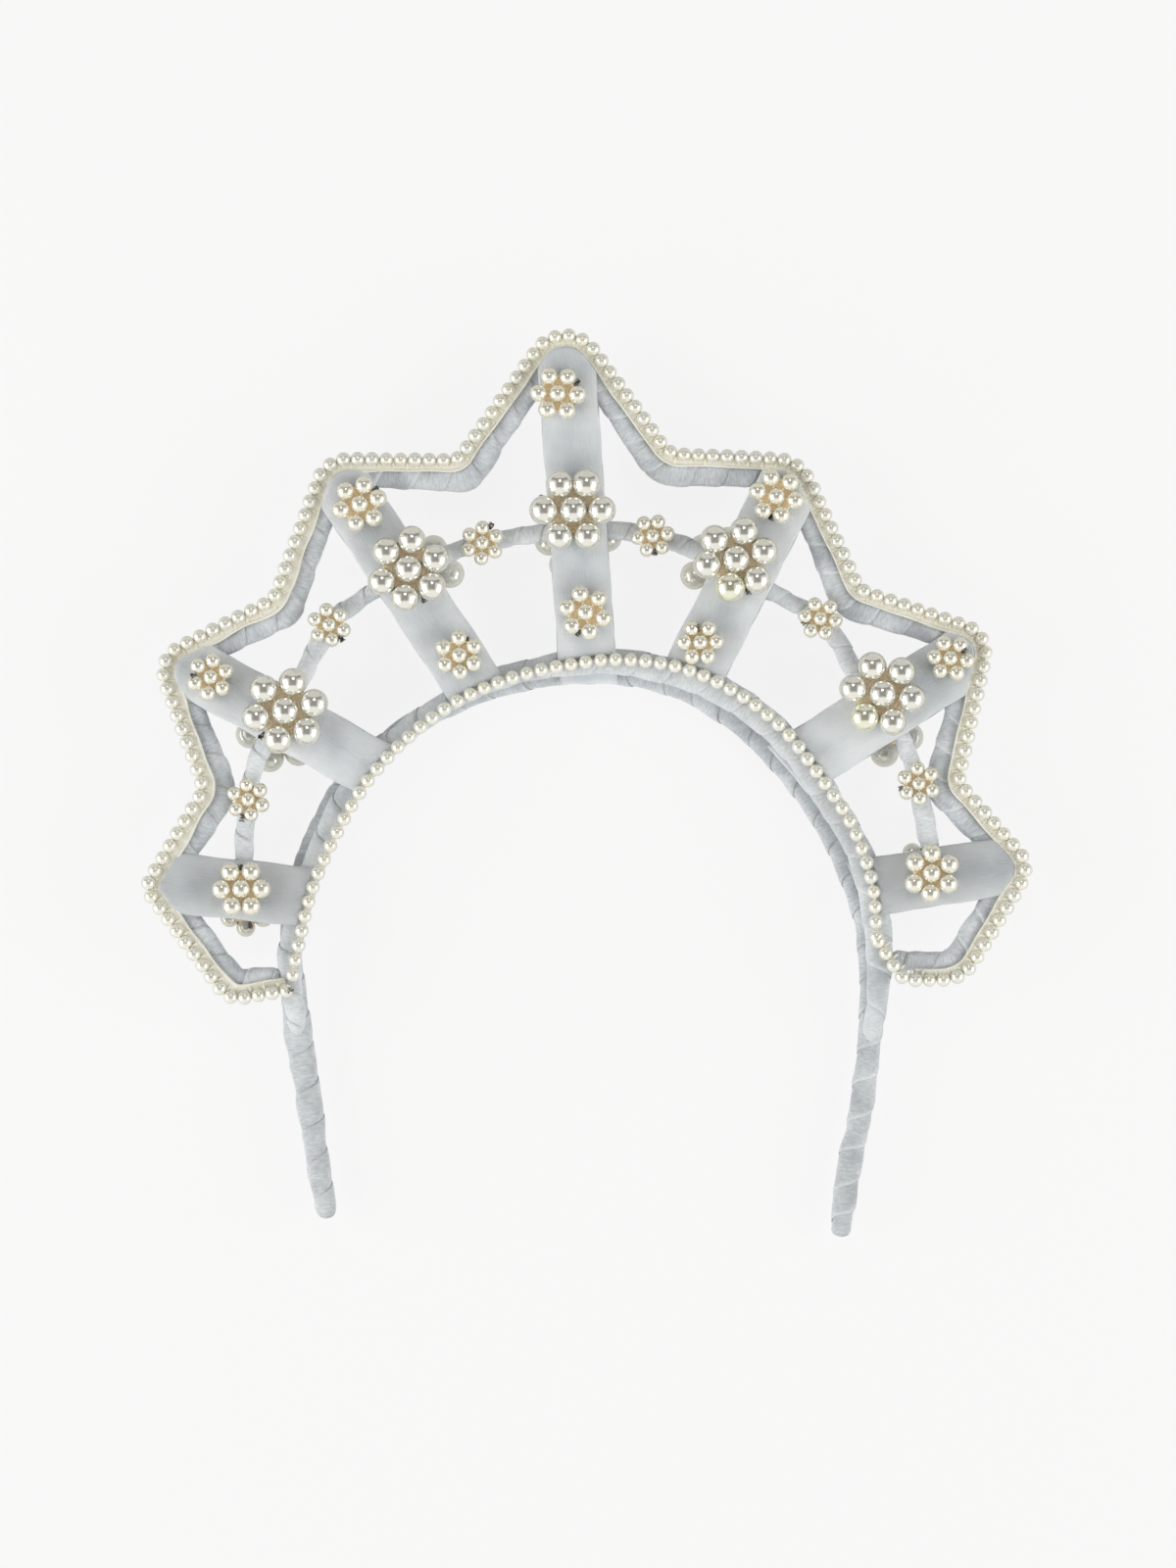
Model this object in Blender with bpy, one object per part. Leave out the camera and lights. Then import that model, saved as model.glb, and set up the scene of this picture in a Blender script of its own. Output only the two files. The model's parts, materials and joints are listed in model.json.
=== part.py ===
# A beaded sunburst headband of ribbon-wound wire: a hair band with two legs, a front arch, a zigzag
# rim, seven flat ribbon rays and flowers of pearls. It lies on its back, with +Y towards its top
# point and +Z towards the viewer. The tables are in millimetres from the middle of its outline.
import math

import bmesh
import bpy
from mathutils import Vector, geometry

MM = 0.001
SEAT = 0.3              # gap between a piece and what carries it

# Pearls of the flowers, as shares of the ring's radius
BIG_RING = 7.6          # from the middle of a big flower to the middles of its six
PEARL_PER_RING = 1.0
MIDDLE_PER_RING = 1.12  # wide enough for the six to press into it
RING_SINK = 0.05        # how much nearer its ribbon the ring of six sits

# Levels above the floor; the big flowers behind are the feet
RIBBON_THICK = 1.4
ROD_THICK = 5.2         # thickness of every wound wire
BACK_FLOWER_TOP = BIG_RING * (MIDDLE_PER_RING + RING_SINK)
BACK_RIBBON_LOW = BACK_FLOWER_TOP + SEAT
FRAME_LOW = BACK_RIBBON_LOW + RIBBON_THICK + SEAT
FRAME_MID = FRAME_LOW + ROD_THICK / 2
FRAME_TOP = FRAME_LOW + ROD_THICK
FRONT_RIBBON_LOW = FRAME_TOP + SEAT
FLOWER_LOW = FRONT_RIBBON_LOW + RIBBON_THICK + SEAT

# Hair band, behind the front arch
BAND_WIDTH = 6.5
BAND_TOP = BACK_RIBBON_LOW - SEAT
BAND_MID = BAND_TOP - ROD_THICK / 2

# Small pearls and their tape
STRING_RADIUS = 1.8
TAPE_OUTER = STRING_RADIUS + SEAT
TAPE_WIDTH = 2.4
TAPE_THICK = 0.8
RIM_STRING_MID = FRONT_RIBBON_LOW + TAPE_THICK / 2
ARCH_STRING_MID = FRAME_TOP + SEAT + STRING_RADIUS
RIM_INSET = 4.9         # rim wire's middle, inward from the string
RIM_RADIUS = ROD_THICK / 2
RIM_BEND = 3.0          # tightest bend of the rim wire

COLOURS = {
    "ribbon": (0.68, 0.71, 0.74),
    "wound ribbon": (0.58, 0.62, 0.66),
    "tape": (0.78, 0.74, 0.66),
    "pearl": (0.80, 0.76, 0.68),
}

# Hair band's middle line: x, y, width factor
HEADBAND_ROUTE = (
    (-70.0, -118.2, 0.78),
    (-72.7, -103.6, 0.88),
    (-75.7, -82.4, 0.98),
    (-77.9, -69.7, 1.05),
    (-79.2, -61.2, 1.00),
    (-80.6, -50.0, 0.95),
    (-80.5, -38.5, 0.95),
    (-76.8, -22.5, 1.00),
    (-67.2, -2.4, 1.00),
    (-55.0, 10.6, 1.00),
    (-41.9, 19.2, 1.00),
    (-26.5, 25.8, 1.00),
    (-10.6, 29.4, 1.00),
    (-4.0, 29.9, 1.00),
    (8.0, 29.9, 1.00),
    (18.2, 28.2, 1.00),
    (30.0, 23.6, 1.00),
    (42.7, 14.8, 1.00),
    (55.1, 2.1, 1.00),
    (66.0, -13.5, 1.00),
    (74.7, -34.5, 1.00),
    (76.4, -46.0, 1.00),
    (76.8, -58.0, 1.00),
    (75.9, -70.0, 0.96),
    (73.3, -90.4, 0.96),
    (70.5, -103.4, 0.96),
    (67.8, -123.2, 0.85),
)

# Front arch's middle line: x, y, width
ARCH_ROUTE = (
    (-80.0, -57.0, 6.0),
    (-80.8, -46.6, 6.4),
    (-78.7, -36.0, 6.4),
    (-73.5, -20.1, 6.4),
    (-66.5, -5.2, 6.4),
    (-55.8, 8.3, 6.4),
    (-42.7, 18.9, 6.4),
    (-27.6, 27.2, 6.4),
    (-11.1, 31.5, 6.6),
    (4.8, 33.0, 7.0),
    (16.7, 31.5, 7.4),
    (31.9, 27.0, 7.8),
    (45.4, 18.9, 7.8),
    (56.7, 8.0, 7.8),
    (65.6, -5.2, 7.8),
    (73.5, -18.7, 7.6),
    (77.6, -33.9, 7.4),
    (79.0, -46.6, 7.2),
    (78.4, -58.6, 6.4),
)

# Arch pearls' line: x, y
ARCH_STRING_ROUTE = (
    (-79.8, -51.9),
    (-78.4, -44.5),
    (-74.5, -28.6),
    (-68.1, -13.8),
    (-59.6, 0.5),
    (-48.2, 12.7),
    (-34.7, 22.5),
    (-19.1, 28.9),
    (-3.2, 32.3),
    (9.0, 33.4),
    (24.9, 31.3),
    (40.0, 24.6),
    (52.7, 14.8),
    (62.5, 2.1),
    (71.3, -11.1),
    (76.6, -25.7),
    (77.8, -36.0),
    (78.0, -41.6),
)

# Outer pearls' corners, clockwise from the left foot of the arch: x, y, radius of the bend
RIM_CORNERS = (
    (-81.6, -56.2, 0.0),
    (-97.3, -58.8, 6.0),
    (-120.0, -28.4, 4.4),
    (-103.9, -1.6, 6.0),
    (-116.9, 33.7, 7.8),
    (-85.1, 49.6, 5.0),
    (-71.0, 87.7, 9.0),
    (-35.2, 87.3, 4.0),
    (-6.3, 128.0, 9.4),
    (22.0, 89.0, 6.0),
    (57.4, 87.4, 10.0),
    (73.5, 52.2, 5.0),
    (108.9, 40.3, 7.8),
    (100.2, 0.2, 4.0),
    (120.1, -22.5, 7.4),
    (101.6, -53.3, 10.0),
    (85.1, -53.3, 4.5),
    (78.5, -42.8, 0.0),
)
CLIMB_LEFT = 4.5        # length at each end that lies on the arch's foot
CLIMB_RIGHT = 13.5
CLIMB_RAMP = 5.0
TAPE_END = (88.0, -53.3, 0.0)       # the tape stops where the string turns up the arch's right foot
RIM_WIRE_ENDS = ((-84.6, -52.3), (84.2, -48.4))     # where the rim wire meets the arch's two feet

# Cross wire's middle line: x, y
CROSS_ROUTE = (
    (-93.3, -24.1),
    (-93.0, -13.5),
    (-92.0, -4.5),
    (-89.6, 6.4),
    (-83.5, 17.0),
    (-77.4, 28.9),
    (-70.0, 42.7),
    (-63.6, 48.2),
    (-48.5, 57.8),
    (-28.6, 64.9),
    (-4.0, 68.6),
    (8.0, 68.4),
    (26.5, 64.1),
    (50.4, 51.4),
    (62.8, 44.3),
    (68.4, 37.4),
    (72.9, 28.9),
    (79.5, 22.3),
    (85.3, 11.7),
    (89.3, -0.3),
    (92.8, -18.8),
)

# Rays: name, tip x and y, foot x and y, ribbon width, how far the back ribbon's foot shows
RAYS = (
    ("1", -116.6, -26.6, -79.5, -30.5, 16.2, 0.0),
    ("2", -113.0, 34.2, -61.5, 5.8, 15.9, 0.0),
    ("3", -68.9, 84.0, -31.5, 27.6, 15.9, 0.0),
    ("4", -6.4, 122.0, -0.4, 35.5, 15.6, 3.4),
    ("5", 56.2, 84.5, 29.7, 32.1, 16.7, 0.0),
    ("6", 107.0, 37.0, 61.0, 7.7, 17.0, 0.0),
    ("7", 117.5, -21.8, 80.6, -27.6, 15.6, 0.0),
)

# Flowers in front: name, x, y, ring radius, first pearl's angle
FRONT_FLOWERS = (
    ("big_1", -81.8, 19.5, BIG_RING, 44.0),
    ("big_2", -48.5, 57.8, BIG_RING, 23.0),
    ("big_3", -4.0, 73.7, BIG_RING, 1.0),
    ("big_4", 40.0, 60.4, BIG_RING, 16.0),
    ("big_5", 79.5, 24.1, BIG_RING, 50.0),
    ("low_1", -93.7, -28.6, 5.35, 2.0),
    ("low_2", 92.8, -24.4, 5.35, 28.0),
    ("tip_1", -102.0, 28.6, 4.55, 20.0),
    ("tip_2", -61.7, 75.3, 5.2, 17.0),
    ("tip_3", -8.2, 105.2, 5.2, 57.0),
    ("tip_4", 50.9, 77.4, 5.2, 46.0),
    ("tip_5", 97.9, 33.7, 4.55, 52.0),
    ("foot_1", -34.8, 34.5, 4.6, 32.0),
    ("foot_2", -0.7, 46.1, 5.2, 44.0),
    ("foot_3", 30.3, 38.0, 4.35, 60.0),
)

# The smallest flowers, on the cross wire: name, x, y, ring radius, pearl diameter, first angle
WIRE_FLOWERS = (
    ("wire_1", -91.9, -4.5, 4.1, 3.95, 38.0),
    ("wire_2", -70.0, 42.7, 4.1, 3.95, 40.0),
    ("wire_3", -28.6, 64.9, 4.1, 3.95, 26.0),
    ("wire_4", 17.5, 66.8, 4.1, 3.95, 8.0),
    ("wire_5", 62.8, 44.4, 4.1, 3.95, 52.0),
    ("wire_6", 89.4, -0.2, 4.1, 3.95, 36.0),
)

# Flowers behind: name, x, y, ring radius, first pearl's angle
BACK_FLOWERS = (
    ("back_1", -92.8, -33.9, 5.3, 30.0),
    ("back_2", -84.0, 14.3, BIG_RING, 10.0),
    ("back_3", -45.6, 56.5, BIG_RING, 0.0),
    ("back_4", -2.6, 66.0, BIG_RING, 0.0),
    ("back_5", 36.6, 58.0, BIG_RING, 15.0),
    ("back_6", 80.3, 16.2, BIG_RING, 34.0),
    ("back_7", 91.4, -23.1, 5.3, 10.0),
)

# A wound rod's section: shares of half its width across and of its thickness up
ROD_SECTION = (
    (1.0, -0.25),
    (1.0, 0.25),
    (0.5, 0.5),
    (-0.5, 0.5),
    (-1.0, 0.25),
    (-1.0, -0.25),
    (-0.5, -0.5),
    (0.5, -0.5),
)

RING_COUNT = 6
MIDDLE_SEGMENTS = 12
RING_SEGMENTS = 10
PEARL_RINGS = 4
FIRST_CORNER = 90.0     # where Blender puts the first corner of a ball's widest ring
ROUTE_STEP = 14.0
STRING_STEP = 17.0
ROD_STEP = 14.0
BEND_STEPS = 2
LOBE_STEPS = 2
LOBE_REACH = 62.0       # degrees of a round lobe each side of its middle
RAY_SHARES = (-0.5, -0.34, 0.0, 0.34, 0.5)      # where across a ribbon its ends are measured
REACH_STRIDE = 0.1
BACK_FOOT_CLEARANCE = 0.2
TAPE_BEND = 1.0


def material(name):
    found = bpy.data.materials.get(name)
    if found:
        return found
    made = bpy.data.materials.new(name)
    made.use_nodes = True
    shader = made.node_tree.nodes["Principled BSDF"]
    shader.inputs["Base Color"].default_value = (*COLOURS[name], 1.0)
    shader.inputs["Roughness"].default_value = 0.22 if name == "pearl" else 0.9
    shader.inputs["Metallic"].default_value = 0.0
    return made


def smooth_route(rows, step):
    """Points of a smooth curve through the rows, each with the rows' later columns blended."""
    points = []
    last = len(rows) - 1
    for i in range(last):
        before, here = rows[max(i - 1, 0)], rows[i]
        there, after = rows[i + 1], rows[min(i + 2, last)]
        length = math.dist(here[:2], there[:2])
        count = max(1, round(length / step))
        for k in range(count):
            t = k / count
            point = []
            for a, b, c, d in zip(before, here, there, after):
                cubic = (3 * b - a - 3 * c + d) * t ** 3
                square = (2 * a - 5 * b + 4 * c - d) * t ** 2
                point.append(b + (cubic + square + (c - a) * t) / 2)
            points.append(point)
    points.append(list(rows[last]))
    return points


def offset_corners(rows, inward):
    """The corners moved sideways by one distance, to the right of the way they run."""
    moved = []
    last = len(rows) - 1
    for i, (x, y, radius) in enumerate(rows):
        here = Vector((x, y))
        ways = []
        if i > 0:
            ways.append((here - Vector(rows[i - 1][:2])).normalized())
        if i < last:
            ways.append((Vector(rows[i + 1][:2]) - here).normalized())
        sides = [Vector((way.y, -way.x)) for way in ways]
        total = sides[0] + sides[-1]
        shift = total / (1.0 + sides[0].dot(sides[-1]))
        turn = ways[0].x * ways[-1].y - ways[0].y * ways[-1].x
        bend = radius - inward if turn < 0 else radius + inward
        spot = here + shift * inward
        moved.append((spot.x, spot.y, bend))
    return moved


def round_corners(rows, tightest):
    """The corner table as a line of points, each bend an arc of its own radius."""
    points = [Vector(rows[0][:2])]
    for before, here, after in zip(rows, rows[1:], rows[2:]):
        corner = Vector(here[:2])
        back = (Vector(before[:2]) - corner)
        ahead = (Vector(after[:2]) - corner)
        half = back.angle(ahead) / 2
        radius = max(here[2], tightest)
        reach = radius / math.tan(half)
        reach = min(reach, 0.45 * back.length, 0.45 * ahead.length)
        radius = reach * math.tan(half)
        start = corner + back.normalized() * reach
        end = corner + ahead.normalized() * reach
        centre = corner + (back.normalized() + ahead.normalized()).normalized() * radius / math.sin(half)
        for k in range(BEND_STEPS + 1):
            blend = start.lerp(end, k / BEND_STEPS) - centre
            points.append(centre + blend.normalized() * radius)
    points.append(Vector(rows[-1][:2]))
    return points


def spread(points, step):
    """Extra points on the long straight stretches of a line."""
    line = []
    for here, there in zip(points, points[1:]):
        count = max(1, round((there - here).length / step))
        line.extend(here.lerp(there, k / count) for k in range(count))
    line.append(points[-1])
    return line


def spline_curve(name, points, closed=False, flat=False):
    """A curve object on one straight-sided spline; the points are x, y, z in millimetres."""
    data = bpy.data.curves.new(name, "CURVE")
    data.dimensions = "2D" if flat else "3D"
    data.twist_mode = "Z_UP"
    spline = data.splines.new("POLY")
    spline.points.add(len(points) - 1)
    for spot, point in zip(spline.points, points):
        spot.co = (point[0] * MM, point[1] * MM, point[2] * MM, 1.0)
    spline.use_cyclic_u = closed
    return bpy.data.objects.new(name, data)


def as_mesh(curve, colour, collection, low=0.0):
    """The curve turned into a welded mesh object of the same name."""
    bpy.context.scene.collection.objects.link(curve)
    bpy.context.view_layer.update()
    evaluated = curve.evaluated_get(bpy.context.evaluated_depsgraph_get())
    mesh = bpy.data.meshes.new_from_object(evaluated)
    name = curve.name
    data = curve.data
    bpy.data.objects.remove(curve)
    bpy.data.curves.remove(data)
    work = bmesh.new()
    work.from_mesh(mesh)
    bmesh.ops.remove_doubles(work, verts=work.verts, dist=0.00001)
    bmesh.ops.recalc_face_normals(work, faces=work.faces)
    work.to_mesh(mesh)
    work.free()
    mesh.materials.clear()
    mesh.materials.append(material(colour))
    obj = bpy.data.objects.new(name, mesh)
    obj.location.z = low * MM
    collection.objects.link(obj)
    return obj


def climb(line):
    """The line's points with a height: it rises at both ends, where it lies on the arch's feet."""
    lengths = [0.0]
    for here, there in zip(line, line[1:]):
        lengths.append(lengths[-1] + (there - here).length)
    points = []
    for point, length in zip(line, lengths):
        left = 1 - (length - CLIMB_LEFT) / CLIMB_RAMP
        right = 1 - (lengths[-1] - length - CLIMB_RIGHT) / CLIMB_RAMP
        share = min(max(left, right, 0.0), 1.0)
        points.append((point.x, point.y, share * (ARCH_STRING_MID - RIM_STRING_MID)))
    return points


def tube(name, points, height, radius, colour, collection):
    """A round string or wire along the points, which may have a height of their own."""
    flat = [(*point, 0.0)[:3] for point in points]
    curve = spline_curve(name, flat)
    curve.data.bevel_depth = radius * MM
    curve.data.bevel_resolution = 2
    curve.data.use_fill_caps = True
    return as_mesh(curve, colour, collection, height)


def wound_rod(name, rows, height, colour, collection):
    """A wound rod whose width changes along its rows: x, y, width. It has eight flat sides."""
    work = bmesh.new()
    rings = []
    last = len(rows) - 1
    for i, (x, y, width) in enumerate(rows):
        before, after = rows[max(i - 1, 0)], rows[min(i + 1, last)]
        way = Vector((after[0] - before[0], after[1] - before[1])).normalized()
        side = Vector((way.y, -way.x))
        ring = []
        for across, up in ROD_SECTION:
            spot = Vector((x, y)) + side * across * width / 2
            ring.append(work.verts.new((spot.x * MM, spot.y * MM, up * ROD_THICK * MM)))
        rings.append(ring)
    for near, far in zip(rings, rings[1:]):
        for k, corner in enumerate(near):
            following = (k + 1) % len(near)
            work.faces.new((corner, near[following], far[following], far[k]))
    work.faces.new(rings[0])
    work.faces.new(rings[-1])
    bmesh.ops.recalc_face_normals(work, faces=work.faces)
    mesh = bpy.data.meshes.new(name)
    work.to_mesh(mesh)
    work.free()
    mesh.materials.append(material(colour))
    obj = bpy.data.objects.new(name, mesh)
    obj.location.z = height * MM
    collection.objects.link(obj)
    return obj


def plate(name, outline, low, thick, colour, collection):
    """A flat piece cut to an outline."""
    curve = spline_curve(name, [(p[0], p[1], 0.0) for p in outline], True, True)
    curve.data.fill_mode = "BOTH"
    curve.data.extrude = thick / 2 * MM
    return as_mesh(curve, colour, collection, low + thick / 2)


def distance_to_line(point, line):
    """Distance from a point to a line of points, all in the plane."""
    nearest = math.inf
    for here, there in zip(line, line[1:]):
        foot, share = geometry.intersect_point_line(point, here, there)
        share = min(max(share, 0.0), 1.0)
        nearest = min(nearest, (point - here.lerp(there, share)).length)
    return nearest


def reach_line(start, way, line, clearance):
    """The point where a straight way from the start first comes this close to the line."""
    point = start.copy()
    while distance_to_line(point, line) > clearance:
        point = point + way * REACH_STRIDE
    return point


def ray_outline(row, rim_line, rim_clearance, foot_line, foot_clearance, past):
    """A ribbon's outline: straight sides, its two ends cut to follow the rim and the arch."""
    _, tip_x, tip_y, foot_x, foot_y, width, _ = row
    tip, foot = Vector((tip_x, tip_y)), Vector((foot_x, foot_y))
    way = (tip - foot).normalized()
    side = Vector((way.y, -way.x))
    middle = (tip + foot) / 2
    tips = []
    feet = []
    for share in RAY_SHARES:
        start = middle + side * width * share
        tips.append(reach_line(start, way, rim_line, rim_clearance))
        feet.append(reach_line(start, -way, foot_line, foot_clearance) - way * past)
    return tips + feet[::-1]


def pearl(work, centre, diameter, segments, angle):
    """One bead in a mesh being built, with a corner of its widest ring at the given angle."""
    made = bmesh.ops.create_uvsphere(work, u_segments=segments, v_segments=PEARL_RINGS,
                                     radius=diameter / 2 * MM)
    turn = math.radians(angle - FIRST_CORNER)
    for vert in made["verts"]:
        x, y = vert.co.x, vert.co.y
        vert.co.x = x * math.cos(turn) - y * math.sin(turn) + centre[0] * MM
        vert.co.y = x * math.sin(turn) + y * math.cos(turn) + centre[1] * MM
        vert.co.z += centre[2] * MM


def bead_object(name, centre, diameter, segments, angle, collection):
    work = bmesh.new()
    pearl(work, centre, diameter, segments, angle)
    mesh = bpy.data.meshes.new(name)
    work.to_mesh(mesh)
    work.free()
    mesh.materials.append(material("pearl"))
    obj = bpy.data.objects.new(name, mesh)
    collection.objects.link(obj)
    return obj


def ring_place(x, y, ring, angle):
    """The middle of the pearl at an angle on a flower's ring."""
    turn = math.radians(angle)
    return x + ring * math.cos(turn), y + ring * math.sin(turn)


def flower(row, ribbon_z, upward, collection, cutters):
    """Six pearls round one, joined where they touch. The ring sits a little nearer its ribbon."""
    name, x, y, ring, first = row
    size = ring * PEARL_PER_RING
    middle = ring * MIDDLE_PER_RING
    lift = ring * RING_SINK
    middle_z = ribbon_z + middle / 2 + lift if upward else ribbon_z - middle / 2 - lift
    sink = -lift if upward else lift
    flat_side = first + 180 / MIDDLE_SEGMENTS
    whole = bead_object("flower_" + name, (x, y, middle_z), middle, MIDDLE_SEGMENTS, flat_side, collection)
    for k in range(RING_COUNT):
        angle = first + k * 360 / RING_COUNT
        place = (*ring_place(x, y, ring, angle), middle_z + sink)
        petal = bead_object(f"petal_{name}_{k}", place, size, RING_SEGMENTS, angle + 180, cutters)
        petal.hide_render = True
        petal.display_type = "WIRE"
        union = whole.modifiers.new(f"petal {k}", "BOOLEAN")
        union.operation = "UNION"
        union.solver = "EXACT"
        union.object = petal
    return whole


def rosette(row, low, collection):
    """The smallest flowers: a plate with six round lobes, as thick as its pearls."""
    name, x, y, ring, diameter, first = row
    outline = []
    for k in range(RING_COUNT):
        angle = first + k * 360 / RING_COUNT
        centre = Vector(ring_place(x, y, ring, angle))
        for s in range(LOBE_STEPS + 1):
            turn = math.radians(angle + LOBE_REACH * (2 * s / LOBE_STEPS - 1))
            outline.append(centre + Vector((math.cos(turn), math.sin(turn))) * diameter / 2)
    return plate("flower_" + name, outline, low, diameter, "pearl", collection)


def build():
    for obj in list(bpy.data.objects):
        bpy.data.objects.remove(obj)
    headband = bpy.data.collections.new("beaded headband")
    cutters = bpy.data.collections.new("cutters")
    for made in (headband, cutters):
        bpy.context.scene.collection.children.link(made)

    band_rows = [(x, y, width * BAND_WIDTH) for x, y, width in HEADBAND_ROUTE]
    wound_rod("headband", smooth_route(band_rows, ROD_STEP), BAND_MID, "wound ribbon", headband)
    wound_rod("arch_band", smooth_route(ARCH_ROUTE, ROD_STEP), FRAME_MID, "wound ribbon", headband)

    rim_line = round_corners(RIM_CORNERS, 0.0)
    rim_points = climb(spread(rim_line, STRING_STEP))
    tube("rim_pearls", rim_points, RIM_STRING_MID, STRING_RADIUS, "pearl", headband)
    arch_line = [Vector(p) for p in smooth_route(ARCH_STRING_ROUTE, ROUTE_STEP)]
    tube("arch_pearls", arch_line, ARCH_STRING_MID, STRING_RADIUS, "pearl", headband)

    tape_rows = RIM_CORNERS[:-2] + (TAPE_END,)
    outer = round_corners(offset_corners(tape_rows, TAPE_OUTER), TAPE_BEND)
    inner = round_corners(offset_corners(tape_rows, TAPE_OUTER + TAPE_WIDTH), TAPE_BEND)
    plate("rim_tape", outer + inner[::-1], FRONT_RIBBON_LOW, TAPE_THICK, "tape", headband)

    wire_rows = offset_corners(RIM_CORNERS, RIM_INSET)[1:-2]
    wire_rows = [(*RIM_WIRE_ENDS[0], 0.0)] + wire_rows + [(*RIM_WIRE_ENDS[1], 0.0)]
    tube("rim_wire", round_corners(wire_rows, RIM_BEND), FRAME_MID, RIM_RADIUS, "wound ribbon", headband)
    tube("cross_wire", smooth_route(CROSS_ROUTE, ROD_STEP), FRAME_MID, RIM_RADIUS, "wound ribbon",
         headband)

    band_line = [Vector((x, y)) for x, y, _ in band_rows]
    tape_clearance = TAPE_OUTER + TAPE_WIDTH + SEAT
    string_clearance = STRING_RADIUS + SEAT
    for row in RAYS:
        front = ray_outline(row, rim_line, tape_clearance, arch_line, string_clearance, 0.0)
        plate(f"ray_front_{row[0]}", front, FRONT_RIBBON_LOW, RIBBON_THICK, "ribbon", headband)
        back = ray_outline(row, rim_line, TAPE_OUTER, band_line, BACK_FOOT_CLEARANCE, row[6])
        plate(f"ray_rear_{row[0]}", back, BACK_RIBBON_LOW, RIBBON_THICK, "ribbon", headband)

    for row in FRONT_FLOWERS:
        flower(row, FLOWER_LOW, True, headband, cutters)
    for row in BACK_FLOWERS:
        flower(row, BACK_FLOWER_TOP, False, headband, cutters)
    for row in WIRE_FLOWERS:
        rosette(row, FRAME_TOP + SEAT, headband)


build()
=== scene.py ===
# %% [markdown]
# # A beaded sunburst headband
# The real thing is a wire frame wound with white velvet ribbon. A hair band with two legs carries
# an arch in front of it. A zigzag rim, a cross wire and seven flat velvet rays fill the fan, and
# pearls, threaded on wire in flowers of seven or strung in rows, are sewn on top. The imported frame
# has each of these as a plain solid. This lesson dresses every solid with what the photograph shows.

# %% Load the fixed frame
import json
import math

import bmesh
import bpy
import numpy as np
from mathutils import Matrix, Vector, geometry

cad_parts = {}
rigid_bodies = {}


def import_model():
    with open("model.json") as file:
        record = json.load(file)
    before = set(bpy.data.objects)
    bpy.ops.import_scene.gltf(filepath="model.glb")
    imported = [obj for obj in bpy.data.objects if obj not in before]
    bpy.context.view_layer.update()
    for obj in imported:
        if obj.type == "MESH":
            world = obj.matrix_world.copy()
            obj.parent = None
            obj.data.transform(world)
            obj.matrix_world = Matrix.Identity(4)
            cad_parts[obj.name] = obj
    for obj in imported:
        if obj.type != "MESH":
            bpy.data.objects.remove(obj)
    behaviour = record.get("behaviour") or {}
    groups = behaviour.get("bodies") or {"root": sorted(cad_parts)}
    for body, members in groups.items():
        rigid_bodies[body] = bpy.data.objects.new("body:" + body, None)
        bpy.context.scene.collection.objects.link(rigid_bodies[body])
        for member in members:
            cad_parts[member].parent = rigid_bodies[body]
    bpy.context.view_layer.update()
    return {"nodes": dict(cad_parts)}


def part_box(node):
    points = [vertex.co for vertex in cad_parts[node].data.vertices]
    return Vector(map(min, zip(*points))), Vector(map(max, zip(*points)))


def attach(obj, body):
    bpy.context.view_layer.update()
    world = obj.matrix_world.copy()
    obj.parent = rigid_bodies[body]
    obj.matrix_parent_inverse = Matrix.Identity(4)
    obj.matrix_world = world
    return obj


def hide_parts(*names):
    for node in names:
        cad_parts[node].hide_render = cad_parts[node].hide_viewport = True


for leftover in list(bpy.data.objects):
    bpy.data.objects.remove(leftover)
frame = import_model()
print("frame nodes:", len(frame["nodes"]))

# %% [markdown]
# ## Sizes
# Everything lies in layers, so each layer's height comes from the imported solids. The tables give
# the lines that the wires and strings follow, in millimetres from the middle of the headband's
# outline. They were read off the photograph at 0.265 mm to a pixel.

# %% Layers and widths
MM = 0.001
ROD_THICK = 5.2
BAND_WIDTH = 6.5
STRING_PEARL = 3.9      # a little over the pearls' 3.6, for the flats of a bead of few faces
RIM_INSET = 4.9         # rim wire's middle, inward from the string
RIM_BEND = 3.0
RIM_WIDTH = 5.7
BEND_STEPS = 6


def level(node, share):
    """A height in a solid, in millimetres: 0 is its underside and 1 its top."""
    low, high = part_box(node)
    return (low.z + (high.z - low.z) * share) / MM


BAND_MID = level("headband", 0.5)
FRAME_MID = level("arch_band", 0.5)
FRONT_RIBBON = (level("ray_front_4", 0.0), level("ray_front_4", 1.0))
REAR_RIBBON = (level("ray_rear_4", 0.0), level("ray_rear_4", 1.0))
TAPE_LOW = level("rim_tape", 0.0)
RIM_STRING_MID = TAPE_LOW + 0.4
ARCH_STRING_MID = level("arch_pearls", 0.5)
print(f"frame middle {FRAME_MID:.1f} mm, front ribbon {FRONT_RIBBON[0]:.1f} to {FRONT_RIBBON[1]:.1f} mm")

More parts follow.
